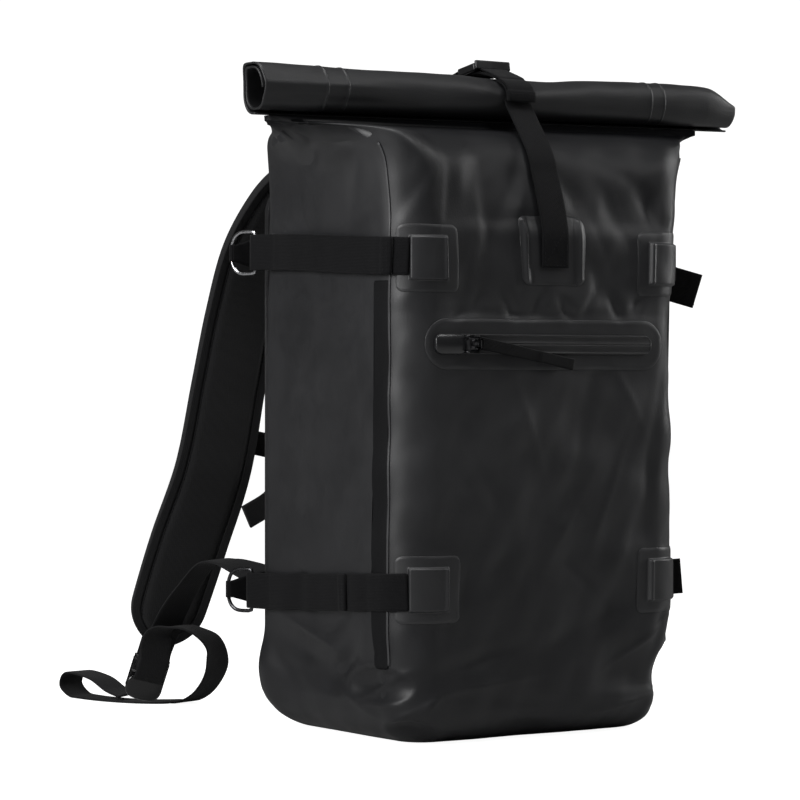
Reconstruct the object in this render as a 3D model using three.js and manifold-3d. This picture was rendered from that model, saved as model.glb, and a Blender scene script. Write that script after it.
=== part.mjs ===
// A roll-top backpack, standing on its base, in millimetres.
// The front face looks along -Y, +X is to the right of it and +Z is up. The origin is the middle of the flat base.
import * as THREE from 'three';
import { mergeVertices } from 'three/addons/utils/BufferGeometryUtils.js';
import Module from 'manifold-3d';

// Body
const bodyWidth = 265;
const bodyDepth = 214;
const bodyHeight = 470.5;
const cornerRadius = 30;
const baseRadius = 35;
const frontBelly = 4;
const sideBelly = 3;
const bodyWall = 2;
const mouthLength = 434;
const mouthGap = 6;
const mouthForward = 46;
const mouthTilt = 4;

// Rolled mouth
const rollLength = 446;
const rollHeight = 38;
const rollDepth = 36;
const rollWall = 2;
const rollPitch = 3.4;
const rollTurns = 1.75;
const rollSquareness = 2.7;

// Spaces between pieces
const clearance = 0.3;

// Welded sheet pieces
const patchThickness = 0.9;
const patchCorner = 5;
const tapeThickness = 0.6;
const tapeWidth = 20;
const tapeTop = 345;
const tapeBottom = 62;

// Webbing
const webbingThickness = 1.6;
const hemThickness = 3.4;
const hemLength = 9;
const lashWidth = 28;
const closureWidth = 25;
const adjusterWidth = 25;
const sternumWidth = 20;

// Lash points
const lashWindowWidth = 31;
const lashWindowInset = 8;
const lashWindowHeight = 33;
const lashWindowRise = 3.1;
const lashPatchWidth = 52;
const lashPatchHeight = 50;
const lashReach = 20;
const ringWire = 3;
const ringWidth = 36;
const ringDepth = 24;
const ringSquareness = 3;
const ringSwing = 0.41;
const tabBowWidth = 16;
const tabRootWidth = 28;

// Front strap, its patch and its buckle
const closureSide = 3;
const closurePatchWidth = 58;
const closurePatchHeight = 52;
const closurePatchFoot = 344;
const closureFoot = 357;
const closureRise = 1.4;
const closureRidge = 1.6;
const closureLeave = 446;
const hemRise = 0.9;
const closureRearFoot = 425;
const buckleWidth = 34;
const buckleDepth = 22;
const buckleThickness = 6;
const buckleBar = 3.5;
const buckleTail = 62;
const buckleBack = 10;
const buckleLift = 10;
const buckleTip = 0.15;
const rollMiddleDeep = 1.04;
const rollMiddleTall = 0.97;

// Front zip
const zipHeight = 299;
const zipLength = 207;
const zipTapeHeight = 15;
const zipBackingLength = 226;
const zipBackingHeight = 38;
const garageLength = 26;
const garageHeight = 15;
const sliderLength = 9;
const sliderHeight = 12;
const pullerLength = 88;
const pullerWidth = 9;
const pullerDrop = 15;
const pullerThickness = 1.8;
const pullerHang = 1.2;
const zipShift = 5;
const zipRise = 1.2;
const garageRise = 2.2;
const sliderThickness = 4.5;

// Back pad and shoulder straps
const backPadWidth = 236;
const backPadHeight = 382;
const backPadThickness = 12;
const backPadFoot = 48;
const backPadCorner = 26;
const padBevel = 3;
const padWidth = 65;
const padThickness = 12;
const padTop = 446;
const padDrop = 388;
const padReach = 140.7;
const padSpread = 78;
const padRoot = 60;

// Lower adjusters
const lockWidth = 36;
const lockHeight = 28;
const lockThickness = 4;
const lockBar = 4;
const lockTopBar = 6.5;
const lockLowBar = 5;
const lockArm = 4.5;
const lockHang = 18;
const adjusterRoot = 104;
const adjusterRootHeight = 108;
const tailLoopHeight = 68;
const tailRun = 117;
const tailSpread = 47;

// Chest strap
const sternumHeight = 226;
const sternumSag = 9;
const sternumClipWidth = 38;
const sternumClipHeight = 26;
const sternumClipThickness = 9;
const sternumTail = 96;

// Heights of the body's sections as shares of the body height: how far the front and the back of the
// section have gone towards the flat mouth, how much it has widened, and how much of its belly it has.
const wallRows = [
  { front: 0.13, back: 0.13, frontIn: 0, backIn: 0, flare: 1.012, belly: 0.6 },
  { front: 0.225, back: 0.225, frontIn: 0, backIn: 0, flare: 1.01, belly: 0.85 },
  { front: 0.34, back: 0.34, frontIn: 0, backIn: 0, flare: 1.005, belly: 1 },
  { front: 0.46, back: 0.46, frontIn: 0, backIn: 0, flare: 1, belly: 1 },
  { front: 0.58, back: 0.58, frontIn: 0, backIn: 0, flare: 0.995, belly: 0.9 },
  { front: 0.7, back: 0.7, frontIn: 0, backIn: 0, flare: 0.99, belly: 0.7 },
  { front: 0.805, back: 0.805, frontIn: 0.01, backIn: 0, flare: 0.99, belly: 0.45 },
  { front: 0.84, back: 0.845, frontIn: 0.08, backIn: 0, flare: 0.99, belly: 0.3 },
  { front: 0.88, back: 0.89, frontIn: 0.16, backIn: 0, flare: 0.995, belly: 0.15 },
  { front: 0.925, back: 0.935, frontIn: 0.24, backIn: 0.01, flare: 1.02, belly: 0 },
  { front: 0.953, back: 0.968, frontIn: 0.36, backIn: 0.03, flare: 1.05, belly: 0 },
  { front: 0.972, back: 0.983, frontIn: 0.52, backIn: 0.12, flare: 1.07, belly: 0 },
  { front: 0.981, back: 0.99, frontIn: 0.72, backIn: 0.4, flare: 1.06, belly: 0 },
  { front: 0.987, back: 0.991, frontIn: 0.88, backIn: 0.75, flare: 1.03, belly: 0 },
  { front: 0.989, back: 0.9915, frontIn: 1, backIn: 1, flare: 1, belly: 0 },
  { front: 1, back: 1, frontIn: 1, backIn: 1, flare: 1, belly: 0 },
];

// Dents and folds of the body: quarter is the place round it, from the middle of the front (0) by the right
// side (1) and the back (2) to the left side (3). Height is a share of the body height, round and tall are
// the half sizes as shares of a quarter and of the height, and depth is a share of the corner radius.
const dents = [
  { quarter: 3.44, height: 0.11, round: 0.12, tall: 0.035, depth: 0.2 },
  { quarter: 3.52, height: 0.03, round: 0.13, tall: 0.03, depth: 0.16 },
  { quarter: 0.58, height: 0.085, round: 0.14, tall: 0.05, depth: 0.3 },
  { quarter: 3.8, height: 0.12, round: 0.2, tall: 0.05, depth: 0.1 },
  { quarter: 0.2, height: 0.14, round: 0.22, tall: 0.06, depth: 0.1 },
  { quarter: 0.14, height: 0.84, round: 0.06, tall: 0.08, depth: 0.14 },
  { quarter: 3.83, height: 0.82, round: 0.07, tall: 0.09, depth: 0.13 },
  { quarter: 3.2, height: 0.945, round: 0.16, tall: 0.02, depth: 0.22 },
  { quarter: 0.8, height: 0.945, round: 0.16, tall: 0.02, depth: 0.2 },
  { quarter: 3.1, height: 0.16, round: 0.2, tall: 0.05, depth: 0.1 },
];

// Stretches of the roll along its length: share of the half length, and shares of its height and depth.
const rollRows = [
  { along: -1, tall: 1.03, deep: 0.84 },
  { along: -0.9, tall: 1, deep: 0.95 },
  { along: -0.62, tall: 0.98, deep: 1.02 },
  { along: -0.3, tall: 0.98, deep: 1.04 },
  { along: -0.06, tall: 0.97, deep: 1.04 },
  { along: 0.08, tall: 0.96, deep: 1.04 },
  { along: 0.2, tall: 0.96, deep: 1.03 },
  { along: 0.5, tall: 0.99, deep: 1 },
  { along: 0.82, tall: 1, deep: 0.96 },
  { along: 1, tall: 0.94, deep: 0.86 },
];

// Lash straps: side is -1 for the left and 1 for the right. Front and rear are heights in shares of the body
// height, tail is how far forward of the side's rear end the free end lies, as a share of the body depth, and
// standOff is how far it stands off the side there, as a share of the body width.
const lashRows = [
  { name: 'upper_left', side: -1, front: 0.77, rear: 0.793, tail: 0.72, standOff: 0 },
  { name: 'lower_left', side: -1, front: 0.249, rear: 0.227, tail: 0.55, standOff: 0 },
  { name: 'upper_right', side: 1, front: 0.77, rear: 0.793, tail: 0.68, standOff: 0.14 },
  { name: 'lower_right', side: 1, front: 0.249, rear: 0.227, tail: 0.7, standOff: 0.06 },
];

// Middle line of a shoulder strap: shares of its spread, reach and drop, how far its face is turned, in
// quarter turns, and its width as a share of the full width.
const padRows = [
  { out: 0, back: 0, down: 0, turn: 0, wide: 0.86 },
  { out: 0.04, back: 0.19, down: 0.002, turn: 0, wide: 0.9 },
  { out: 0.17, back: 0.39, down: 0.055, turn: 0, wide: 0.96 },
  { out: 0.28, back: 0.56, down: 0.16, turn: 0, wide: 1 },
  { out: 0.37, back: 0.635, down: 0.3, turn: 0.02, wide: 1 },
  { out: 0.47, back: 0.685, down: 0.456, turn: 0.05, wide: 1 },
  { out: 0.6, back: 0.745, down: 0.637, turn: 0.1, wide: 1 },
  { out: 0.79, back: 0.845, down: 0.793, turn: 0.17, wide: 1 },
  { out: 0.92, back: 0.94, down: 0.92, turn: 0.2, wide: 0.88 },
  { out: 1, back: 1, down: 1, turn: 0.2, wide: 0.56 },
];

// Lower adjuster from the back pad to its lock: shares of the way out to the lock, of the way back to it
// and of the height between lock and root, with how far its width is turned and raised.
const adjusterRows = [
  { out: 0, back: 0, up: 1, turn: 0, rise: 0.9 },
  { out: 0.06, back: 0, up: 1.05, turn: 0, rise: 0.9 },
  { out: 0.16, back: 0.045, up: 1.13, turn: 0.1, rise: 0.8 },
  { out: 0.34, back: 0.17, up: 1.28, turn: 0.25, rise: 0.5 },
  { out: 0.54, back: 0.39, up: 1.43, turn: 0.3, rise: 0.1 },
  { out: 0.67, back: 0.57, up: 1.38, turn: 0.3, rise: 0 },
  { out: 0.86, back: 0.73, up: 0.92, turn: 0.15, rise: 0 },
  { out: 0.98, back: 0.88, up: 0.42, turn: -0.15, rise: 0 },
  { out: 1, back: 1, up: 0, turn: -0.32, rise: 0 },
];

// Free tail of the adjuster, from above its lock over a standing loop and along the ground to its pull loop:
// shares of its spread inwards, of its run backwards and of its loop's height, and the direction of its width.
const tailRows = [
  { inward: -0.05, back: -0.155, up: 0.78, side: 0.93, rear: -0.25, rise: -0.2 },
  { inward: -0.05, back: -0.21, up: 0.92, side: 0.97, rear: 0, rise: -0.15 },
  { inward: 0.1, back: -0.285, up: 1, side: 0.9, rear: 0.4, rise: 0 },
  { inward: 0.35, back: -0.385, up: 0.98, side: 0.8, rear: 0.6, rise: 0 },
  { inward: 0.71, back: -0.41, up: 0.79, side: 0.87, rear: 0.5, rise: 0 },
  { inward: 0.99, back: -0.29, up: 0.48, side: 0.95, rear: 0.3, rise: 0 },
  { inward: 1.05, back: -0.1, up: 0.19, side: 0.95, rear: 0.3, rise: 0 },
  { inward: 0.99, back: 0.085, up: 0.025, side: 0.97, rear: 0.25, rise: 0 },
  { inward: 0.8, back: 0.21, up: 0, side: 0.8, rear: 0.6, rise: 0 },
  { inward: 0.415, back: 0.29, up: 0, side: 0.72, rear: 0.7, rise: 0 },
  { inward: 0.1, back: 0.5, up: 0, side: 0.9, rear: 0.45, rise: 0 },
  { inward: -0.07, back: 0.8, up: 0, side: 0.98, rear: 0.19, rise: 0 },
  { inward: -0.17, back: 0.915, up: 0.03, side: 0.98, rear: 0.19, rise: 0 },
  { inward: -0.245, back: 0.975, up: 0.16, side: 0.98, rear: 0.19, rise: 0 },
  { inward: -0.21, back: 0.905, up: 0.31, side: 0.98, rear: 0.19, rise: 0 },
  { inward: -0.05, back: 0.68, up: 0.26, side: 0.98, rear: 0.19, rise: 0 },
  { inward: 0.075, back: 0.53, up: 0.13, side: 0.98, rear: 0.19, rise: 0 },
  { inward: 0.18, back: 0.43, up: 0.07, side: 0.98, rear: 0.19, rise: 0 },
];

// Colours and finishes
const coated = { color: 0x2c2d31, roughness: 0.55, metalness: 0 };
const coatedDark = { color: 0x222327, roughness: 0.5, metalness: 0 };
const webbing = { color: 0x17171a, roughness: 0.85, metalness: 0 };
const mesh = { color: 0x131316, roughness: 0.95, metalness: 0 };
const plastic = { color: 0x101012, roughness: 0.35, metalness: 0 };
const metal = { color: 0xb9bbbf, roughness: 0.25, metalness: 1 };

const group = new THREE.Group();
const up = new THREE.Vector3(0, 0, 1);

function vector(x, y, z) {
  return new THREE.Vector3(x, y, z);
}

function mix(a, b, share) {
  return a + (b - a) * share;
}

function add(name, geometry, finish) {
  const piece = new THREE.Mesh(geometry, new THREE.MeshStandardMaterial(finish));
  piece.name = name;
  group.add(piece);
  return piece;
}

// Six times the volume inside a triangle skin, negative where it is inside out.
function sixVolumes(points, faces) {
  let sum = 0;
  const cross = vector(0, 0, 0);
  for (let face = 0; face < faces.length; face += 3) {
    cross.crossVectors(points[faces[face + 1]], points[faces[face + 2]]);
    sum += points[faces[face]].dot(cross);
  }
  return sum;
}

function skin(points, faces) {
  const turned = sixVolumes(points, faces) < 0 ? faces.slice().reverse() : faces;
  const geometry = new THREE.BufferGeometry();
  const numbers = points.flatMap((point) => point.toArray());
  geometry.setAttribute('position', new THREE.Float32BufferAttribute(numbers, 3));
  geometry.setIndex(turned);
  return geometry;
}

// A closed body over rings with the same number of points; both ends are closed by a ladder of faces. The two
// halves of a ring are cut along the same diagonal, so that a twisted sheet keeps its thickness.
function loft(rings) {
  const size = rings[0].length;
  const last = (rings.length - 1) * size;
  const faces = [];
  for (let start = 0; start < last; start += size) {
    for (let i = 0; i < size; i += 1) {
      const a = start + i;
      const b = start + ((i + 1) % size);
      if (i < size / 2) faces.push(a, b, a + size, b, b + size, a + size);
      else faces.push(a, b, b + size, a, b + size, a + size);
    }
  }
  for (let i = 0; i < size / 2 - 1; i += 1) {
    const far = size - 1 - i;
    faces.push(i + 1, i, far, i + 1, far, far - 1);
    faces.push(last + i, last + i + 1, last + far, last + i + 1, last + far - 1, last + far);
  }
  return skin(rings.flat(), faces);
}

// Short flats in a corner of the section.
const cornerSteps = 4;

// Rounded rectangle of the body, by quarter: 0 is the middle of its front, 1 of its right side, 2 of its back.
function quarterSpot(share, halfWidth, halfDepth, radius) {
  const flat = halfWidth - radius;
  const side = halfDepth - radius;
  const arc = (Math.PI / 2) * radius;
  const way = share * (flat + arc + side);
  if (way <= flat) return [way, halfDepth];
  if (way >= flat + arc) return [halfWidth, side - (way - flat - arc)];
  const facet = Math.PI / 2 / cornerSteps;
  const number = Math.min(Math.floor((way - flat) / radius / facet), cornerSteps - 1);
  const part = (way - flat) / radius / facet - number;
  const sine = mix(Math.sin(number * facet), Math.sin((number + 1) * facet), part);
  const cosine = mix(Math.cos(number * facet), Math.cos((number + 1) * facet), part);
  return [flat + radius * sine, side + radius * cosine];
}

// Places round the body where its corners start and end, as shares of a quarter.
const quarterLength = (bodyWidth + bodyDepth) / 2 + (Math.PI / 2 - 2) * cornerRadius;
const cornerStart = (bodyWidth / 2 - cornerRadius) / quarterLength;
const cornerEnd = 1 - (bodyDepth / 2 - cornerRadius) / quarterLength;

function quarterColumns() {
  const columns = [];
  const spans = [
    { from: 0, to: cornerStart, steps: 3 },
    { from: cornerStart, to: cornerEnd, steps: cornerSteps },
    { from: cornerEnd, to: 1, steps: 3 },
  ];
  for (const span of spans) {
    for (let i = 0; i < span.steps; i += 1) columns.push(mix(span.from, span.to, i / span.steps));
  }
  return columns;
}

// The columns of all four quarters; the second and fourth run the other way.
const oneQuarter = quarterColumns();
const columns = [0, 1, 2, 3].flatMap((quarter) => {
  if (quarter % 2 === 0) return oneQuarter.map((share) => quarter + share);
  return [1, ...oneQuarter.slice(1).reverse()].map((share) => quarter + 1 - share);
});

const baseSteps = 5;
const bodyRows = [];
for (let step = 0; step <= baseSteps; step += 1) {
  const angle = (step / baseSteps) * (Math.PI / 2);
  const height = (baseRadius * (1 - Math.cos(angle))) / bodyHeight;
  const inset = baseRadius * (1 - Math.sin(angle));
  const belly = 0.3 * Math.sin(angle);
  bodyRows.push({ front: height, back: height, frontIn: 0, backIn: 0, flare: 1, belly, inset });
}
for (const row of wallRows) bodyRows.push({ ...row, inset: 0 });

// The section at a row number, whole or between two rows.
function rowAt(number) {
  const low = Math.min(Math.max(Math.floor(number), 0), bodyRows.length - 2);
  const share = number - low;
  const row = {};
  for (const key of Object.keys(bodyRows[0])) {
    row[key] = mix(bodyRows[low][key], bodyRows[low + 1][key], share);
  }
  return row;
}

// The row number whose front lies at a height.
function rowOfHeight(height) {
  const share = height / bodyHeight;
  let low = 0;
  while (low < bodyRows.length - 2 && bodyRows[low + 1].front < share) low += 1;
  return low + (share - bodyRows[low].front) / (bodyRows[low + 1].front - bodyRows[low].front);
}

// A point of the body's outer face without its dents.
function bodySpot(quarter, number) {
  const row = rowAt(number);
  const turn = ((quarter % 4) + 4) % 4;
  const whole = Math.floor(turn);
  const share = whole % 2 === 0 ? turn - whole : 1 - (turn - whole);
  const signX = whole < 2 ? 1 : -1;
  const signY = whole === 0 || whole === 3 ? -1 : 1;
  const radius = Math.max(cornerRadius - row.inset * 0.4, 1);
  const [x, y] = quarterSpot(share, bodyWidth / 2 - row.inset, bodyDepth / 2 - row.inset, radius);
  const halfWidth = bodyWidth / 2 - row.inset;
  const halfDepth = bodyDepth / 2 - row.inset;
  const belliedY = y + (signY < 0 ? frontBelly : 0) * row.belly * Math.max(1 - (x / halfWidth) ** 2, 0);
  const belliedX = x + sideBelly * row.belly * Math.max(1 - (y / halfDepth) ** 2, 0);
  const lip = mouthGap / 2 + bodyWall;
  const [mouthX, mouthY] = quarterSpot(share, mouthLength / 2, lip, lip);
  const frontShare = 0.5 - (0.5 * signY * y) / halfDepth;
  const inward = mix(row.backIn, row.frontIn, frontShare);
  const spotX = mix(belliedX * row.flare, mouthX, inward) * signX;
  const spotY = mix(belliedY * signY, mouthY * signY - mouthForward, inward);
  const tilt = (mouthTilt * inward * spotX) / (mouthLength / 2);
  return vector(spotX, spotY, mix(row.back, row.front, frontShare) * bodyHeight + tilt);
}

// Outward direction of the body's face.
function bodyNormal(quarter, number) {
  const step = 0.02;
  const around = bodySpot(quarter + step, number).sub(bodySpot(quarter - step, number));
  const low = Math.max(number - step, 0);
  const high = Math.min(number + step, bodyRows.length - 1);
  const upwards = bodySpot(quarter, high).sub(bodySpot(quarter, low));
  return around.cross(upwards).normalize();
}

// A point over the body's face: lift is off the face, along is level along it, towards the next quarter.
function hug(quarter, height, lift, along = 0) {
  const number = rowOfHeight(height);
  const normal = bodyNormal(quarter, number);
  const level = vector(-normal.y, normal.x, 0).normalize();
  return bodySpot(quarter, number).addScaledVector(normal, lift).addScaledVector(level, along);
}

function dentDepth(quarter, height) {
  let depth = 0;
  for (const dent of dents) {
    const round = (quarter - dent.quarter) / dent.round;
    const tall = (height / bodyHeight - dent.height) / dent.tall;
    depth += dent.depth * cornerRadius * Math.exp(-(round * round) - tall * tall);
  }
  return depth;
}

function bodyRing(number, depth) {
  return columns.map((quarter) => {
    const spot = bodySpot(quarter, number);
    const inwards = depth + dentDepth(quarter, spot.z) * (number > 0 ? 1 : 0);
    return spot.addScaledVector(bodyNormal(quarter, number), -inwards);
  });
}

function makeBody() {
  const outer = bodyRows.map((row, number) => bodyRing(number, 0));
  const inner = bodyRows.map((row, number) => bodyRing(number, bodyWall)).reverse();
  add('shell', loft([...outer, ...inner]), coated);
}

// A thin sheet welded on the body: the place of a grid point is given by at(u, v), its thickness by thick(u, v).
function sheet(us, vs, at, lift, thick) {
  const rings = us.map((u) => {
    const under = vs.map((v) => hug(...at(u, v), lift));
    const over = vs.map((v) => hug(...at(u, v), lift + thick(u, v)));
    return [...under, ...over.reverse()];
  });
  return loft(rings);
}

function steps(count) {
  return Array.from({ length: count + 1 }, (unused, i) => i / count);
}

// Quarter place of a point that lies a distance from the middle of the front, to the right.
function frontQuarter(x) {
  return x / quarterLength;
}

// Distances from the middle of the front, with the body's own columns between them, so that a sheet bends there.
function withColumns(places) {
  const low = Math.min(...places);
  const high = Math.max(...places);
  const own = columns.map((quarter) => (quarter > 2 ? quarter - 4 : quarter) * quarterLength);
  const between = own.filter((x) => x > low && x < high && places.every((place) => Math.abs(place - x) > 0.8));
  return [...places, ...between].sort((a, b) => a - b);
}

function makeSeamTapes() {
  for (const side of [-1, 1]) {
    const from = cornerEnd - tapeWidth / 2 / quarterLength;
    const to = cornerEnd + tapeWidth / 2 / quarterLength;
    const at = (u, v) => [side * mix(from, to, v), mix(tapeBottom, tapeTop, u)];
    const tape = sheet(steps(8), steps(2), at, clearance, () => tapeThickness);
    add(side < 0 ? 'seam_tape_left' : 'seam_tape_right', tape, coatedDark);
  }
}

// Heights with the body's own rows between them.
function withRows(levels) {
  const low = Math.min(...levels);
  const high = Math.max(...levels);
  const own = bodyRows.map((row) => row.front * bodyHeight);
  const between = own.filter((z) => z > low && z < high && levels.every((level) => Math.abs(level - z) > 0.8));
  return [...levels, ...between].sort((a, b) => a - b);
}

// A welded lash patch with a raised window that the strap's end sits behind.
const windowFrom = bodyWidth / 2 - lashWindowInset - lashWindowWidth;
const windowTo = windowFrom + lashWindowWidth;

function makeLashPatch(row) {
  const height = row.front * bodyHeight;
  const patchFrom = (windowFrom + windowTo - lashPatchWidth) / 2;
  const edge = lashWindowWidth * 0.05;
  const places = [patchFrom, windowFrom, windowFrom + edge, windowTo - edge, windowTo, patchFrom + lashPatchWidth];
  const half = lashWindowHeight / 2;
  const outer = lashPatchHeight / 2;
  const offsets = [-outer, -outer * 0.8, -half, -half + edge, half - edge, half, outer * 0.8, outer];
  const levels = withRows(offsets.map((offset) => height + offset));
  const raised = (x, z) => x > windowFrom && x < windowTo && Math.abs(z - height) < half - edge / 2;
  const thick = (x, z) => patchThickness + (raised(x, z) ? lashWindowRise : 0);
  const at = (x, z) => {
    const trim = Math.abs(z - height) > outer * 0.9 ? patchCorner : 0;
    const inside = Math.min(Math.max(x, patchFrom + trim), patchFrom + lashPatchWidth - trim);
    return [row.side * frontQuarter(inside), z];
  };
  add(`lash_patch_${row.name}`, sheet(withColumns(places), levels, at, clearance, thick), coated);
}

// Lash strap: from the window round the corner and along the side to the ring's bar, round the bar and back.
const lashLift = clearance + patchThickness + clearance;
const barLift = lashLift + webbingThickness + clearance + ringWire / 2;
const turnRadius = ringWire / 2 + clearance + webbingThickness / 2;
const backLift = lashLift + webbingThickness + 2 * clearance;
const lashEnd = cornerEnd + (bodyDepth - 2 * cornerRadius) / quarterLength;

function lashHeight(row, quarter) {
  const share = Math.min(Math.max((quarter - cornerStart) / (lashEnd - cornerStart), 0), 1);
  return mix(row.front, row.rear, share) * bodyHeight;
}

// One section of a lash strap. Where it lies on the body each edge follows the face, and where it is free
// both edges stand over each other. Outside and inside are the lift and the way along of its two faces.
function lashStation(row, quarter, outside, inside, free = false) {
  const height = lashHeight(row, quarter);
  const corner = ([lift, along], edge) => {
    const rise = (edge * lashWidth) / 2;
    if (free) return hug(row.side * quarter, height, lift, row.side * along).addScaledVector(up, rise);
    return hug(row.side * quarter, height + rise, lift, row.side * along);
  };
  return [corner(outside, -1), corner(outside, 1), corner(inside, 1), corner(inside, -1)];
}

function makeLashStrap(row) {
  const start = frontQuarter(windowTo + clearance + lashWindowWidth * 0.02);
  const between = columns.filter((quarter) => quarter > start && quarter < lashEnd - 0.01);
  const thick = webbingThickness;
  const stations = [start, ...between, lashEnd].map((quarter) => (
    lashStation(row, quarter, [lashLift, 0], [lashLift + thick, 0])
  ));
  for (let step = 0; step <= 6; step += 1) {
    const angle = (step / 6) * Math.PI;
    const ray = (radius) => [barLift - radius * Math.cos(angle), lashReach + radius * Math.sin(angle)];
    stations.push(lashStation(row, lashEnd, ray(turnRadius + thick / 2), ray(turnRadius - thick / 2), true));
  }
  const tail = lashEnd - (row.tail * bodyDepth) / quarterLength;
  const back = columns.filter((quarter) => quarter > tail + 0.02 && quarter < lashEnd - 0.01).reverse();
  stations.push(lashStation(row, lashEnd, [backLift + thick, -lashReach / 2], [backLift, -lashReach / 2]));
  const off = row.standOff * bodyWidth;
  const leaving = off > 0 ? back.filter((quarter) => quarter > tail + off / quarterLength) : back;
  for (const quarter of leaving) {
    stations.push(lashStation(row, quarter, [backLift + thick, 0], [backLift, 0]));
  }
  if (off > 0) {
    const foot = leaving[leaving.length - 1];
    for (const share of [0.35, 0.7, 0.74, 1]) {
      const lift = backLift + off * share * share;
      const along = -off * share;
      const wide = share > 0.7 ? hemThickness : thick;
      stations.push(lashStation(row, foot, [lift + wide, along - wide / 2], [lift, along], true));
    }
  } else {
    const hemStart = tail + hemLength / quarterLength;
    stations.push(lashStation(row, hemStart, [backLift + thick, 0], [backLift, 0]));
    stations.push(lashStation(row, hemStart - 0.002, [backLift + hemThickness, 0], [backLift, 0]));
    stations.push(lashStation(row, tail, [backLift + hemThickness, 0], [backLift, 0]));
  }
  add(`lash_strap_${row.name}`, loft(stations), webbing);
}

// Outline of a D ring: a straight bar at 0 and a bow out to the given depth.
function bowOutline(halfWidth, depth, foot) {
  const points = [];
  const bowStart = depth * 0.35;
  for (let step = 0; step <= 10; step += 1) {
    const angle = (step / 10 - 0.5) * Math.PI;
    const power = 2 / ringSquareness;
    const across = Math.sign(Math.sin(angle)) * Math.abs(Math.sin(angle)) ** power * halfWidth;
    points.push(new THREE.Vector2(bowStart + (depth - bowStart) * Math.cos(angle) ** power, across));
  }
  return [new THREE.Vector2(foot, -halfWidth), ...points, new THREE.Vector2(foot, halfWidth)];
}

function ringFrame(row) {
  const height = lashHeight(row, lashEnd);
  const bar = hug(row.side * lashEnd, height, barLift, row.side * lashReach);
  const normal = bodyNormal(row.side * lashEnd, rowOfHeight(height));
  normal.z = 0;
  normal.normalize();
  const level = vector(-normal.y, normal.x, 0).multiplyScalar(row.side);
  const out = level.multiplyScalar(Math.cos(ringSwing)).addScaledVector(normal, Math.sin(ringSwing));
  return { bar, out };
}

function makeRing(row) {
  const half = ringWire / 2;
  const bevel = ringWire * 0.28;
  const shape = new THREE.Shape(bowOutline(ringWidth / 2 - bevel, ringDepth - half - bevel, bevel - half));
  const hole = bowOutline(ringWidth / 2 - ringWire + bevel, ringDepth - half - ringWire + bevel, half - bevel);
  shape.holes.push(new THREE.Path(hole.reverse()));
  const depth = ringWire - 2 * bevel;
  const options = { depth, bevelEnabled: true, bevelThickness: bevel, bevelSize: bevel, bevelSegments: 1 };
  const geometry = new THREE.ExtrudeGeometry(shape, options);
  geometry.translate(0, 0, -depth / 2);
  const { bar, out } = ringFrame(row);
  const turn = new THREE.Matrix4().makeBasis(out, up, out.clone().cross(up));
  const ring = add(`d_ring_${row.name}`, geometry, metal);
  ring.quaternion.setFromRotationMatrix(turn);
  ring.position.copy(bar);
}

// A flat strap through stations: middle point, direction of its width and of its face, width and thickness.
function strap(stations) {
  return loft(stations.map(({ at, across, face, wide, thick }) => {
    const a = across.clone().multiplyScalar(wide / 2);
    const f = face.clone().multiplyScalar(thick / 2);
    return [
      at.clone().sub(a).sub(f),
      at.clone().add(a).sub(f),
      at.clone().add(a).add(f),
      at.clone().sub(a).add(f),
    ];
  }));
}

// Stations of a strap whose middle line lies in one plane, its width across that plane.
function flatRun(points, across, wide, thick) {
  return points.map((at, i) => {
    const before = points[Math.max(i - 1, 0)];
    const after = points[Math.min(i + 1, points.length - 1)];
    const run = after.clone().sub(before).normalize();
    const face = run.clone().cross(across).normalize();
    return { at, across, face, wide: Array.isArray(wide) ? wide[i] : wide, thick };
  });
}

// Half circle of points round a bar, from one side of it to the other.
function turnPoints(bar, radius, start, middle, count) {
  const points = [];
  for (let step = 0; step <= count; step += 1) {
    const angle = (step / count) * Math.PI;
    const point = bar.clone().addScaledVector(start, radius * Math.cos(angle));
    points.push(point.addScaledVector(middle, radius * Math.sin(angle)));
  }
  return points;
}

// Folded tab that holds a ring's bow to the edge of the back pad.
function makeRingTab(row) {
  const { bar, out } = ringFrame(row);
  const bow = bar.clone().addScaledVector(out, ringDepth - ringWire);
  const padEdge = (backPadWidth / 2 + clearance) * row.side;
  const padMiddle = bodyDepth / 2 + clearance + backPadThickness / 2;
  const radius = ringWire / 2 + 2 * clearance + webbingThickness / 2 + ringWire * 0.2;
  const away = vector(row.side, 0, 0);
  const rear = vector(0, 1, 0);
  const turned = turnPoints(bow, radius, rear.clone().negate(), away, 5);
  const near = vector(padEdge, padMiddle - webbingThickness, bow.z);
  const far = vector(padEdge, padMiddle + webbingThickness, bow.z);
  const points = [near, ...turned, far];
  const wides = points.map((point, i) => (i === 0 || i === points.length - 1 ? tabRootWidth : tabBowWidth));
  add(`ring_tab_${row.name}`, strap(flatRun(points, up, wides, webbingThickness)), webbing);
}

// The rolled mouth: a strip wound up from its bottom by the back, over the top and down the front.
const rollMiddle = bodyHeight + clearance + rollHeight / 2 + mouthTilt * 0.08;

function rollSpot(angle, deep, tall, inset) {
  const power = 2 / rollSquareness;
  const cosine = Math.cos(angle);
  const sine = Math.sin(angle);
  const y = Math.sign(cosine) * Math.abs(cosine) ** power * (rollDepth / 2 * deep - inset);
  const z = Math.sign(sine) * Math.abs(sine) ** power * (rollHeight / 2 * tall - inset);
  return [y, z];
}

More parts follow.
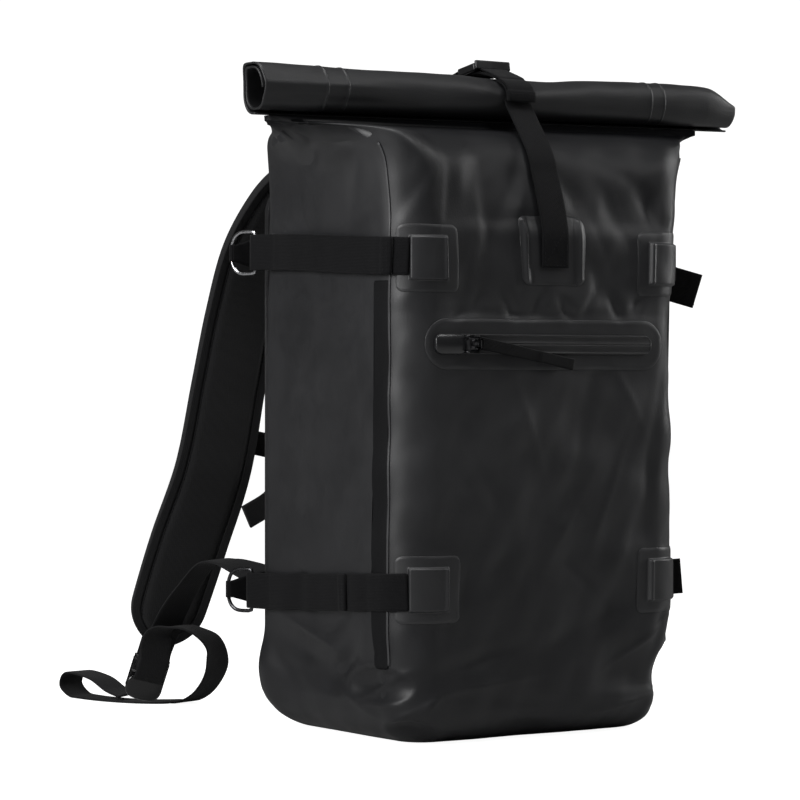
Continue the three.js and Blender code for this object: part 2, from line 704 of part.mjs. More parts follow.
function makeRoll() {
  const perTurn = 14;
  const count = Math.round(rollTurns * perTurn);
  const rings = rollRows.map((row) => {
    const x = (row.along * rollLength) / 2;
    const place = (step, inset) => {
      const turn = step / perTurn;
      const angle = (turn - 0.25) * 2 * Math.PI;
      const [y, z] = rollSpot(angle, row.deep, row.tall, inset + rollPitch * turn);
      return vector(x, y - mouthForward, z + rollMiddle + mouthTilt * row.along);
    };
    const outer = Array.from({ length: count + 1 }, (unused, step) => place(step, 0));
    const inner = Array.from({ length: count + 1 }, (unused, step) => place(step, rollWall));
    return [...outer, ...inner.reverse()];
  });
  add('roll_top', loft(rings), coated);
}

// Front strap's welded patch, with a ridge along each side.
function makeClosurePatch() {
  const half = closurePatchWidth / 2;
  const ridge = closurePatchWidth * 0.1;
  const places = [-half, -half + ridge, -half + ridge + 1, half - ridge - 1, half - ridge, half];
  const us = withColumns(places.map((place) => place + closureSide));
  const levels = withRows(steps(4).map((share) => closurePatchFoot + share * closurePatchHeight));
  const ridged = (x) => Math.abs(x - closureSide) > half - ridge - 0.5 && Math.abs(x - closureSide) < half - 0.5;
  const at = (x, z) => [frontQuarter(x), z];
  const thick = (x) => patchThickness + (ridged(x) ? closureRidge : 0);
  add('closure_patch', sheet(us, levels, at, clearance, thick), coated);
}

// Buckle of the roll strap: two side arms and three bars, tipped back on the roll.
const buckleMiddle = vector(closureSide, rollDepth / 2 - mouthForward + buckleBack, rollMiddle + rollHeight / 2 + buckleLift);
const buckleRun = vector(0, Math.cos(buckleTip), -Math.sin(buckleTip));
const buckleFace = vector(0, Math.sin(buckleTip), Math.cos(buckleTip));
const wasm = await Module();
wasm.setup();

function solidOf(geometry) {
  geometry.deleteAttribute('normal');
  geometry.deleteAttribute('uv');
  const merged = mergeVertices(geometry, 1e-4);
  const vertProperties = new Float32Array(merged.attributes.position.array);
  const triVerts = new Uint32Array(merged.index.array);
  return new wasm.Manifold(new wasm.Mesh({ numProp: 3, vertProperties, triVerts }));
}

function geometryOf(solid) {
  const { vertProperties, triVerts, numProp } = solid.getMesh();
  const geometry = new THREE.BufferGeometry();
  const positions = Array.from({ length: vertProperties.length / numProp }, (unused, i) => (
    [...vertProperties.slice(i * numProp, i * numProp + 3)]
  )).flat();
  geometry.setAttribute('position', new THREE.Float32BufferAttribute(positions, 3));
  geometry.setIndex([...triVerts]);
  return geometry;
}

// A bar with chamfered edges, its middle at a point.
function chamferedBar(wide, deep, thick, x, y, z) {
  const chamfer = Math.min(deep, thick) * 0.25;
  const shape = new THREE.Shape([
    new THREE.Vector2(-deep / 2 + chamfer, -thick / 2),
    new THREE.Vector2(deep / 2 - chamfer, -thick / 2),
    new THREE.Vector2(deep / 2, -thick / 2 + chamfer),
    new THREE.Vector2(deep / 2, thick / 2 - chamfer),
    new THREE.Vector2(deep / 2 - chamfer, thick / 2),
    new THREE.Vector2(-deep / 2 + chamfer, thick / 2),
    new THREE.Vector2(-deep / 2, thick / 2 - chamfer),
    new THREE.Vector2(-deep / 2, -thick / 2 + chamfer),
  ]);
  const geometry = new THREE.ExtrudeGeometry(shape, { depth: wide, bevelEnabled: false });
  geometry.translate(0, 0, -wide / 2);
  geometry.applyMatrix4(new THREE.Matrix4().makeBasis(vector(0, 1, 0), up, vector(1, 0, 0)));
  geometry.translate(x, y, z);
  return solidOf(geometry);
}

// A frame lying flat: side arms along y, bars across, each bar given by its place, depth and height.
function frameOf(width, depth, thick, arm, bars) {
  const reach = (width - arm) / 2;
  let solid = chamferedBar(arm, depth, thick, -reach, 0, 0).add(chamferedBar(arm, depth, thick, reach, 0, 0));
  for (const bar of bars) {
    solid = solid.add(chamferedBar(width - arm, bar.deep, bar.thick, 0, bar.at, bar.high));
  }
  return geometryOf(solid);
}

// Puts a geometry made round the origin at a place, with its x, y and z axes turned to three directions.
function seat(geometry, middle, x, y, z) {
  geometry.applyMatrix4(new THREE.Matrix4().makeBasis(x, y, z));
  geometry.translate(middle.x, middle.y, middle.z);
  return geometry;
}

const barThick = buckleThickness / 2;
const frontBar = (buckleDepth - buckleBar) / 2;

function makeBuckle() {
  const bars = [
    { at: -frontBar, deep: buckleBar, thick: barThick, high: barThick / 2 },
    { at: 0, deep: buckleBar, thick: barThick, high: -barThick * 0.1 },
    { at: frontBar, deep: buckleBar, thick: barThick, high: 0 },
  ];
  const frame = frameOf(buckleWidth, buckleDepth, buckleThickness, buckleBar, bars);
  add('closure_buckle', seat(frame, buckleMiddle, vector(1, 0, 0), buckleRun, buckleFace), plastic);
}

function buckleSpot(run, lift) {
  return buckleMiddle.clone().addScaledVector(buckleRun, run).addScaledVector(buckleFace, lift);
}

// Point over the roll at its middle: the angle is in degrees, 90 the top and 180 the front.
function overRoll(degrees, lift) {
  const [y, z] = rollSpot((degrees * Math.PI) / 180, rollMiddleDeep, rollMiddleTall, -lift);
  return vector(closureSide, y - mouthForward, z + rollMiddle);
}

const strapLift = clearance + webbingThickness / 2;
const tailLift = strapLift + webbingThickness + clearance;

// Roll strap: up the front, over the roll, round the buckle's middle bar and back over itself to its hem.
function makeClosureStrap() {
  const face = frontQuarter(closureSide);
  const foot = clearance + patchThickness + strapLift;
  const low = [0, 0.1, 0.3, 0.55, 0.8, 1].map((share) => {
    const height = mix(closureFoot, closureLeave, share);
    return hug(face, height, foot + closureRise * Math.sin(Math.PI * share));
  });
  for (const point of low) point.x = closureSide;
  const rollUp = [196, 180, 158, 138, 116, 96].map((angle) => overRoll(angle, strapLift + 0.2));
  const bar = buckleSpot(0, -barThick * 0.1);
  const radius = buckleBar / 2 + clearance + webbingThickness / 2 + 0.2;
  const under = buckleSpot(-frontBar, -radius - 4 * clearance);
  const back = buckleFace.clone().negate();
  const turned = turnPoints(bar, radius, back, buckleRun, 6);
  const overBar = [
    buckleSpot(-0.26 * frontBar, 0.72 * radius),
    buckleSpot(-0.75 * frontBar, -strapLift - clearance),
    buckleSpot(-frontBar, -strapLift - clearance),
    buckleSpot(-1.3 * frontBar, -strapLift - 2.5 * clearance),
  ];
  const rollDown = [102, 120, 140, 160, 178].map((angle) => overRoll(angle, tailLift + 0.5));
  const points = [...low, ...rollUp, under, ...turned, ...overBar, ...rollDown];
  const stations = flatRun(points, vector(1, 0, 0), closureWidth, webbingThickness);
  const hem = stations[stations.length - 1];
  const hemStart = hem.at.clone().lerp(stations[stations.length - 2].at, hemLength / buckleTail * 2);
  const doubled = (at) => ({ ...hem, at: at.clone().addScaledVector(hem.face, -hemRise), thick: hemThickness });
  stations.splice(stations.length - 1, 1, { ...hem, at: hemStart }, doubled(hemStart.clone().lerp(hem.at, 0.05)), doubled(hem.at));
  add('closure_strap', strap(stations), webbing);
}

// Rear strap: from the top of the back, over its edge and up to the buckle's rear bar.
function makeClosureRear() {
  const back = bodyDepth / 2;
  const edge = bodyHeight * 0.968;
  const bar = buckleSpot(frontBar, 0);
  const radius = buckleBar / 2 + clearance + webbingThickness / 2 + 0.2;
  const turned = turnPoints(bar, radius, buckleFace.clone().negate(), buckleRun.clone().negate(), 6);
  const low = vector(closureSide, back + strapLift, closureRearFoot + 6);
  const points = [
    low,
    vector(closureSide, back + strapLift, edge - 4),
    vector(closureSide, back + strapLift - 3, edge + 5),
    vector(closureSide, back - 14, edge + 13),
    buckleSpot(frontBar + 26, -radius - 1.5),
    ...turned,
    buckleSpot(frontBar + 12, radius - 1),
    buckleSpot(frontBar + 28, radius - 2.4),
  ];
  const stations = flatRun(points, vector(1, 0, 0), closureWidth, webbingThickness);
  add('closure_strap_rear', strap(stations), webbing);
}

// A sheet with round ends on the front: middle, length and height.
function roundSheet(middle, height, length, tall, lift, thickness) {
  const shares = [0, 0.02, 0.07, 0.15, 0.5, 0.85, 0.93, 0.98, 1];
  const half = tall / 2;
  const us = withColumns(shares.map((share) => middle + (share - 0.5) * length));
  const ends = (x) => Math.max(Math.abs(x - middle) - (length / 2 - half), 0) / half;
  const at = (x, v) => [frontQuarter(x), height + v * Math.max(Math.sqrt(1 - Math.min(ends(x), 1) ** 2), 0.25)];
  return sheet(us, [-half, 0, half], at, lift, () => thickness);
}

const zipLift = 2 * clearance + patchThickness;

function frontFace(x, height, lift) {
  return hug(frontQuarter(x), height, lift);
}

// Zip: a welded backing, the coil's tape, a garage at its left end, a slider and a fabric puller.
function makeZip() {
  const backing = roundSheet(-zipShift, zipHeight, zipBackingLength, zipBackingHeight, clearance, patchThickness);
  add('zip_backing', backing, coated);
  add('zip_tape', roundSheet(0, zipHeight, zipLength, zipTapeHeight, zipLift, zipRise), coatedDark);
  const garageLift = zipLift + zipRise + clearance;
  const garageMiddle = -zipLength / 2 + garageLength / 2 - 4;
  const places = withColumns(steps(3).map((share) => garageMiddle + (share - 0.5) * garageLength));
  const levels = [-1, -0.55, 0.55, 1].map((share) => zipHeight + (share * garageHeight) / 2);
  const bulge = (x, z) => garageRise * (Math.abs(z - zipHeight) < garageHeight * 0.4 ? 1 : 0.4);
  add('zip_garage', sheet(places, levels, (x, z) => [frontQuarter(x), z], garageLift, bulge), coatedDark);
  const sliderMiddle = garageMiddle + garageLength / 2 + sliderLength / 2 + clearance;
  const slider = chamferedBar(sliderHeight, sliderLength, sliderThickness, 0, 0, 0);
  const sliderSeat = frontFace(sliderMiddle, zipHeight, garageLift + sliderThickness / 2);
  const front = vector(0, -1, 0);
  add('zip_slider', seat(geometryOf(slider), sliderSeat, up, vector(1, 0, 0), vector(0, 1, 0)), metal);
  const pullStart = sliderMiddle + sliderLength / 2 + 5 * clearance;
  const spots = [0, 0.15, 0.4, 0.66, 0.68, 1].map((share) => {
    const x = pullStart + share * pullerLength;
    const thick = share > 0.67 ? 2 * pullerThickness : pullerThickness;
    const at = frontFace(x, zipHeight - pullerDrop * share, garageLift + pullerHang + thick / 2);
    return { at, thick };
  });
  const run = spots[spots.length - 1].at.clone().sub(spots[0].at).normalize();
  const across = front.clone().cross(run).normalize();
  const stations = spots.map(({ at, thick }) => ({ at, across, face: front, wide: pullerWidth, thick }));
  add('zip_puller', strap(stations), webbing);
}

// Back pad: a rounded slab on the back.
function makeBackPad() {
  const half = backPadWidth / 2 - padBevel;
  const shape = new THREE.Shape();
  const radius = backPadCorner;
  const low = padBevel;
  const high = backPadHeight - padBevel;
  shape.moveTo(half - radius, low);
  shape.absarc(half - radius, low + radius, radius, -Math.PI / 2, 0);
  shape.absarc(half - radius, high - radius, radius, 0, Math.PI / 2);
  shape.absarc(radius - half, high - radius, radius, Math.PI / 2, Math.PI);
  shape.absarc(radius - half, low + radius, radius, Math.PI, Math.PI * 1.5);
  const depth = backPadThickness - padBevel;
  const options = { depth, bevelThickness: padBevel, bevelSize: padBevel, bevelSegments: 1, curveSegments: 4 };
  const geometry = new THREE.ExtrudeGeometry(shape, options);
  geometry.translate(0, 0, padBevel);
  const thickness = backPadThickness / (backPadThickness + padBevel);
  geometry.scale(1, 1, thickness);
  const middle = vector(0, bodyDepth / 2 + clearance, backPadFoot);
  add('back_pad', seat(geometry, middle, vector(-1, 0, 0), up, vector(0, 1, 0)), mesh);
}

// Middle line of a shoulder strap as a curve, with its width's direction turning along it.
const padFoot = bodyDepth / 2 + clearance;

function padStations(side) {
  const points = padRows.map((row) => vector(
    side * (padRoot + padSpread * row.out),
    padFoot + padReach * row.back,
    padTop - padDrop * row.down,
  ));
  const curve = new THREE.CatmullRomCurve3(points);
  const count = 16;
  return Array.from({ length: count + 1 }, (unused, i) => {
    const share = i / count;
    const place = share * (padRows.length - 1);
    const low = Math.min(Math.floor(place), padRows.length - 2);
    const turn = mix(padRows[low].turn, padRows[low + 1].turn, place - low) * (Math.PI / 2);
    const wide = mix(padRows[low].wide, padRows[low + 1].wide, place - low) * padWidth;
    const at = curve.getPoint(share);
    const run = i === 0 ? vector(0, 1, 0) : curve.getTangent(share);
    const level = vector(Math.cos(turn), side * Math.sin(turn), 0);
    const face = run.clone().cross(level).normalize();
    const across = face.clone().cross(run).normalize();
    return { at, across, face, wide, run };
  });
}

function makeShoulderPad(side, name) {
  const rings = padStations(side).map(({ at, across, face, wide }) => {
    const a = wide / 2;
    const t = padThickness / 2;
    const edge = padThickness * 0.35;
    const outline = [[-a, -t * 0.3], [-a + edge, -t], [a - edge, -t], [a, -t * 0.3], [a, t * 0.3], [a - edge, t], [-a + edge, t], [-a, t * 0.3]];
    return outline.map(([x, z]) => at.clone().addScaledVector(across, x).addScaledVector(face, z));
  });
  add(name, loft(rings), mesh);
}

// Frame of a ladder lock below the end of its shoulder strap: x across, y towards the strap, z to the front.
function lockFrame(side) {
  const stations = padStations(side);
  const end = stations[stations.length - 1];
  const y = end.run.clone().negate();
  const gap = lockHang + lockHeight / 2;
  const middle = end.at.clone().addScaledVector(end.run, gap);
  return { middle, x: end.across, y, z: end.face, gap };
}

function lockSpot(frame, y, z) {
  return frame.middle.clone().addScaledVector(frame.y, y).addScaledVector(frame.z, z);
}

// Places of the lock's bars along its height, from the strap's side down.
const topBar = { at: lockHeight / 2 - lockTopBar / 2, deep: lockTopBar, thick: lockThickness, high: 0 };
const middleBar = { at: -lockBar * 0.4, deep: lockBar, thick: lockThickness, high: 0 };
const lowBar = { at: -lockHeight / 2 + lockLowBar / 2, deep: lockLowBar, thick: lockThickness, high: 0 };

function makeLock(side, name) {
  const frame = lockFrame(side);
  const geometry = frameOf(lockWidth, lockHeight, lockThickness, lockArm, [topBar, middleBar, lowBar]);
  add(name, seat(geometry, frame.middle, frame.x, frame.y, frame.z), plastic);
}

// Webbing folded round the lock's top bar, both ends at the shoulder strap.
const padWebLift = lockThickness / 2 + clearance + webbingThickness / 2;

function makePadWebbing(side, name) {
  const frame = lockFrame(side);
  const start = frame.gap - clearance;
  const barFoot = topBar.at - lockTopBar / 2;
  const turn = turnPoints(lockSpot(frame, barFoot + 0.9, 0), padWebLift, frame.z.clone().negate(), frame.y.clone().negate(), 6);
  const points = [lockSpot(frame, start, -padWebLift), ...turn, lockSpot(frame, start, padWebLift)];
  add(name, strap(flatRun(points, frame.x, adjusterWidth, webbingThickness)), webbing);
}

// A strap through free points, each with a direction for its width, sampled along one smooth curve.
function freeStrap(rows, count, wide, thick) {
  const curve = new THREE.CatmullRomCurve3(rows.map((row) => row.at), false, 'centripetal');
  const turns = new THREE.CatmullRomCurve3(rows.map((row) => row.across), false, 'catmullrom', 0.2);
  return strap(Array.from({ length: count + 1 }, (unused, i) => {
    const share = i / count;
    const run = curve.getTangent(share);
    const face = run.clone().cross(turns.getPoint(share)).normalize();
    const across = face.clone().cross(run).normalize();
    return { at: curve.getPoint(share), across, face, wide, thick };
  }));
}

// Lower adjuster: from the back pad in an arc to the lock, round its middle bar, and out again as a free tail
// that makes a standing loop, lies along the ground and ends in a pull loop.
const lockWeave = [
  { y: 0.6, z: 2.55 },
  { y: 0.33, z: 2.5 },
  { y: 0.2, z: 2.1 },
  { y: 0.12, z: 1.05 },
  { y: 0.09, z: 0 },
  { y: 0.065, z: -1.1 },
  { y: 0, z: -1.65 },
  { y: -0.1, z: -1.7 },
  { y: -0.17, z: -0.95 },
  { y: -0.19, z: 0 },
  { y: -0.185, z: 1 },
  { y: -0.15, z: 2.1 },
  { y: -0.07, z: 3.1 },
  { y: 0.07, z: 3.65 },
  { y: 0.35, z: 3.8 },
  { y: 0.6, z: 4.1 },
];

function makeAdjuster(side, name) {
  const frame = lockFrame(side);
  const root = vector(side * adjusterRoot, padFoot + backPadThickness + strapLift, adjusterRootHeight);
  const end = lockSpot(frame, frame.gap + adjusterWidth / 2, padThickness / 2 + 4 * webbingThickness);
  const rows = adjusterRows.map((row) => ({
    at: vector(mix(root.x, end.x, row.out), mix(root.y, end.y, row.back), mix(end.z, root.z, row.up)),
    across: vector(0.95, -side * row.turn, -side * row.rise),
  }));
  for (const row of lockWeave) {
    rows.push({ at: lockSpot(frame, row.y * lockHeight, row.z * lockThickness / 2), across: frame.x });
  }
  const ground = clearance + webbingThickness / 2;
  for (const row of tailRows) {
    rows.push({
      at: vector(
        frame.middle.x - side * row.inward * tailSpread,
        frame.middle.y + row.back * tailRun,
        ground + row.up * tailLoopHeight,
      ),
      across: vector(row.side, -side * row.rear, -side * row.rise),
    });
  }
  add(name, freeStrap(rows, 74, adjusterWidth, webbingThickness), webbing);
}

// Chest strap: one webbing from each shoulder strap to a clip between them, and a free tail from the clip.
function makeChestStrap() {
  const clip = vector(0, padFoot + padReach * 0.7, sternumHeight - sternumSag);
  const frame = frameOf(sternumClipWidth, sternumClipHeight, sternumClipThickness, sternumClipWidth * 0.45, [
    { at: 0, deep: sternumClipHeight * 0.8, thick: sternumClipThickness * 0.8, high: 0 },
  ]);
  add('sternum_buckle', seat(frame, clip, vector(1, 0, 0), up, vector(0, -1, 0)), plastic);
  for (const side of [-1, 1]) {
    const station = padStations(side).reduce((best, item) => (
      Math.abs(item.at.z - sternumHeight) < Math.abs(best.at.z - sternumHeight) ? item : best
    ));
    const face = station.face.clone();
    const lift = padThickness / 2 + strapLift + clearance;
    const tall = station.run.clone().negate();
    const on = (x) => ({
      at: station.at.clone().addScaledVector(station.across, -side * x * padWidth).addScaledVector(face, lift),
      across: tall,
    });
    const near = vector(side * (sternumClipWidth / 2 + 4 * clearance), clip.y, clip.z);
    const between = near.clone().lerp(on(0.6).at, 0.5).addScaledVector(up, -0.3 * sternumSag);
    const rows = [on(-0.2), on(0.2), on(0.55), { at: between, across: up }, { at: near, across: up }];
    const name = side < 0 ? 'sternum_strap_left' : 'sternum_strap_right';
    add(name, freeStrap(rows, 12, sternumWidth, webbingThickness), webbing);
  }
  const ahead = sternumClipThickness / 2 + strapLift + 3 * clearance;
  const start = clip.clone().add(vector(-sternumClipWidth * 0.42, -ahead, -sternumClipHeight * 0.2));
  const tail = [
    { at: start, across: up },
    { at: start.clone().add(vector(-0.3 * sternumTail, -0.1 * sternumTail, -0.22 * sternumTail)), across: vector(-0.3, 0, 1) },
    { at: start.clone().add(vector(-0.56 * sternumTail, -0.16 * sternumTail, -0.42 * sternumTail)), across: vector(-0.35, 0, 1) },
    { at: start.clone().add(vector(-0.8 * sternumTail, -0.18 * sternumTail, -0.54 * sternumTail)), across: vector(-0.3, 0, 1) },
  ];
  add('sternum_tail', freeStrap(tail, 10, sternumWidth, webbingThickness), webbing);
}

makeBody();
makeSeamTapes();
for (const row of lashRows) {
  makeLashPatch(row);
  makeLashStrap(row);
  makeRing(row);
  makeRingTab(row);
}
makeRoll();
makeClosurePatch();
makeBuckle();
makeClosureStrap();
makeClosureRear();
makeZip();
makeBackPad();
for (const side of [-1, 1]) {
  const name = side < 0 ? 'left' : 'right';
  makeShoulderPad(side, `shoulder_pad_${name}`);
  makeLock(side, `ladder_lock_${name}`);
  makePadWebbing(side, `pad_webbing_${name}`);
  makeAdjuster(side, `adjuster_${name}`);
}
makeChestStrap();

export default group;
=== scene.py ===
"""Looks of the roll-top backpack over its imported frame.

Lengths are in millimetres until a mesh is made. The bag faces -Y and stands on z = 0.
"""
import math

import bmesh
import bpy
import numpy as np
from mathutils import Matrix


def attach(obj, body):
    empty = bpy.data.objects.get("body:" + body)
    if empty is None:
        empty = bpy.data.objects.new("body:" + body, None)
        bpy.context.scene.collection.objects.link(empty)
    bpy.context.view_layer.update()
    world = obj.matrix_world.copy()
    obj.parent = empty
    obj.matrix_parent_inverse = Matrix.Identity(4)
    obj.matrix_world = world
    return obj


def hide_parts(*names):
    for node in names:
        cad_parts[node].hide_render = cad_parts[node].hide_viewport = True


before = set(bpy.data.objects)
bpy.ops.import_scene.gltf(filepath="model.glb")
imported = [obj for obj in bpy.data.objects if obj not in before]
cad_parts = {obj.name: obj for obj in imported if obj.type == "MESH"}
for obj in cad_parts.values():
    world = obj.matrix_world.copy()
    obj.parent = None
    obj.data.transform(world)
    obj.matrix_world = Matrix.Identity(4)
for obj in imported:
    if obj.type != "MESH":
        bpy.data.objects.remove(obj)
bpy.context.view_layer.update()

MM = 0.001
SIDEWAYS, UP, FORWARDS = np.array([1.0, 0, 0]), np.array([0, 0, 1.0]), np.array([0, -1.0, 0])

# Camera: its direction over the ground, then its distance from the origin along that, its offset across, its
# height
TURN = math.radians(34)
CAMERA_AWAY, CAMERA_ASIDE, CAMERA_HIGH = 2362, 52.8, 270
AHEAD = np.array([math.sin(TURN), math.cos(TURN), 0])
ACROSS = np.array([math.cos(TURN), -math.sin(TURN), 0])
camera_data = bpy.data.cameras.new("camera")
camera_data.lens = 135
camera_data.sensor_width = 36
camera_data.shift_y = -17 / 800
camera = bpy.data.objects.new("camera", camera_data)
camera.location = (-CAMERA_AWAY * AHEAD - CAMERA_ASIDE * ACROSS + CAMERA_HIGH * UP) * MM
camera.rotation_euler = (math.pi / 2, 0, -TURN)
bpy.context.scene.collection.objects.link(camera)
bpy.context.scene.camera = camera

# Body: its box, the radii of its upright corners and of its foot's edge, then its mouth's length, gap, place
# in front of the middle and rise to the right, and how far the cloth's mouth reaches to each side
WIDTH, DEPTH, HEIGHT = 265, 214, 470.5
CORNER, BASE = 30, 35
MOUTH, GAP, FORWARD, TILT = 434, 10, 46, 4
LEFT_END, RIGHT_END = 214, 192
WALL_THICK = 1.6
SIDES = ((-1, "left"), (1, "right"))
# Length of a quarter of the outline, and where the front's corner starts and ends along it
QUARTER = (WIDTH + DEPTH) / 2 + (math.pi / 2 - 2) * CORNER
CORNER_START = WIDTH / 2 - CORNER
CORNER_END = QUARTER - (DEPTH / 2 - CORNER)

# Height of the front and back as shares of HEIGHT, how far each has gone to the flat mouth, flare and belly,
# then how far the front corners and the middle of each side stand out in mm where the sides fold up into the
# roll
WALL = np.array([
    (0.13, 0.13, 0, 0, 1.0, 0.6, 0, 0),
    (0.225, 0.225, 0, 0, 1.004, 0.85, 0, 0),
    (0.34, 0.34, 0, 0, 1.004, 1, 0, 0),
    (0.46, 0.46, 0, 0, 1, 1, 0, 0),
    (0.58, 0.58, 0, 0, 0.995, 0.9, 0, 0),
    (0.7, 0.7, 0, 0, 0.985, 0.7, 4, 0),
    (0.805, 0.805, 0.01, 0, 0.975, 0.45, 8, 1),
    (0.84, 0.845, 0.08, 0, 0.97, 0.3, 10, 2),
    (0.88, 0.89, 0.16, 0, 0.97, 0.15, 13, 4),
    (0.925, 0.935, 0.24, 0.0, 0.97, 0, 17, 8),
    (0.953, 0.965, 0.36, 0.03, 0.975, 0, 22, 15),
    (0.972, 0.98, 0.52, 0.14, 0.98, 0, 26, 22),
    (0.981, 0.988, 0.72, 0.45, 1.0, 0, 28, 26),
    (0.987, 0.991, 0.88, 0.8, 1.02, 0, 28, 26),
    (0.9915, 0.993, 1, 1, 1, 0, 0, 0),
    (1, 1, 1, 1, 1, 0, 0, 0),
])


def base_rows(count):
    """Rows of the rounded foot: height and inset follow a quarter circle of radius BASE."""
    angle = np.linspace(0, math.pi / 2, count)
    high = BASE * (1 - np.cos(angle)) / HEIGHT
    inset = BASE * (1 - np.sin(angle))
    zero = np.zeros(count)
    return np.stack([high, high, zero, zero, zero + 1, 0.3 * np.sin(angle), zero, zero, inset], 1)


ROWS = np.vstack([base_rows(7), np.hstack([WALL, np.zeros((len(WALL), 1))])])


def bump_of(x, edge):
    """Smooth step from 0 to 1 over an edge length."""
    t = np.clip(x / edge, 0, 1)
    return t * t * (3 - 2 * t)


def smooth(x, xs, ys):
    """Monotone cubic through the points (xs, ys), taken at x: slopes are harmonic means of the steps
    beside."""
    xs, ys = np.asarray(xs, float), np.asarray(ys, float)
    step = np.diff(xs)
    rise = np.diff(ys) / step
    slope = np.concatenate([rise[:1], np.zeros(len(ys) - 2), rise[-1:]])
    product = rise[:-1] * rise[1:]
    total = np.where(product > 0, rise[:-1] + rise[1:], 1)
    slope[1:-1] = np.where(product > 0, 2 * product / total, 0)
    i = np.clip(np.searchsorted(xs, x) - 1, 0, len(step) - 1)
    t = (x - xs[i]) / step[i]
    a, b = ys[i], ys[i + 1]
    p, q = slope[i] * step[i], slope[i + 1] * step[i]
    return a + t * (p + t * (3 * (b - a) - 2 * p - q + t * (2 * (a - b) + p + q)))


def corner_spot(share, half_width, half_depth, radius):
    """Point of a rounded rectangle's quarter: straight, then a quarter circle, then straight."""
    flat, side = half_width - radius, half_depth - radius
    way = share * (flat + side + math.pi / 2 * radius)
    angle = np.clip((way - flat) / radius, 0, math.pi / 2)
    x = np.minimum(way, flat) + radius * np.sin(angle)
    return x, side + radius * np.cos(angle) - np.maximum(way - flat - math.pi / 2 * radius, 0)


def ripple(a, b, length, seed, count=7):
    """Soft unevenness from -1 to 1: a sum of sines of nearby lengths in seeded directions."""
    random = np.random.default_rng(seed)
    total = 0
    for _ in range(count):
        angle, phase = random.uniform(0, 2 * math.pi, 2)
        wave = 2 * math.pi / (length * random.uniform(0.6, 1.6))
        total = total + np.sin(wave * (a * math.cos(angle) + b * math.sin(angle)) + phase)
    return total / count ** 0.5 / 1.6


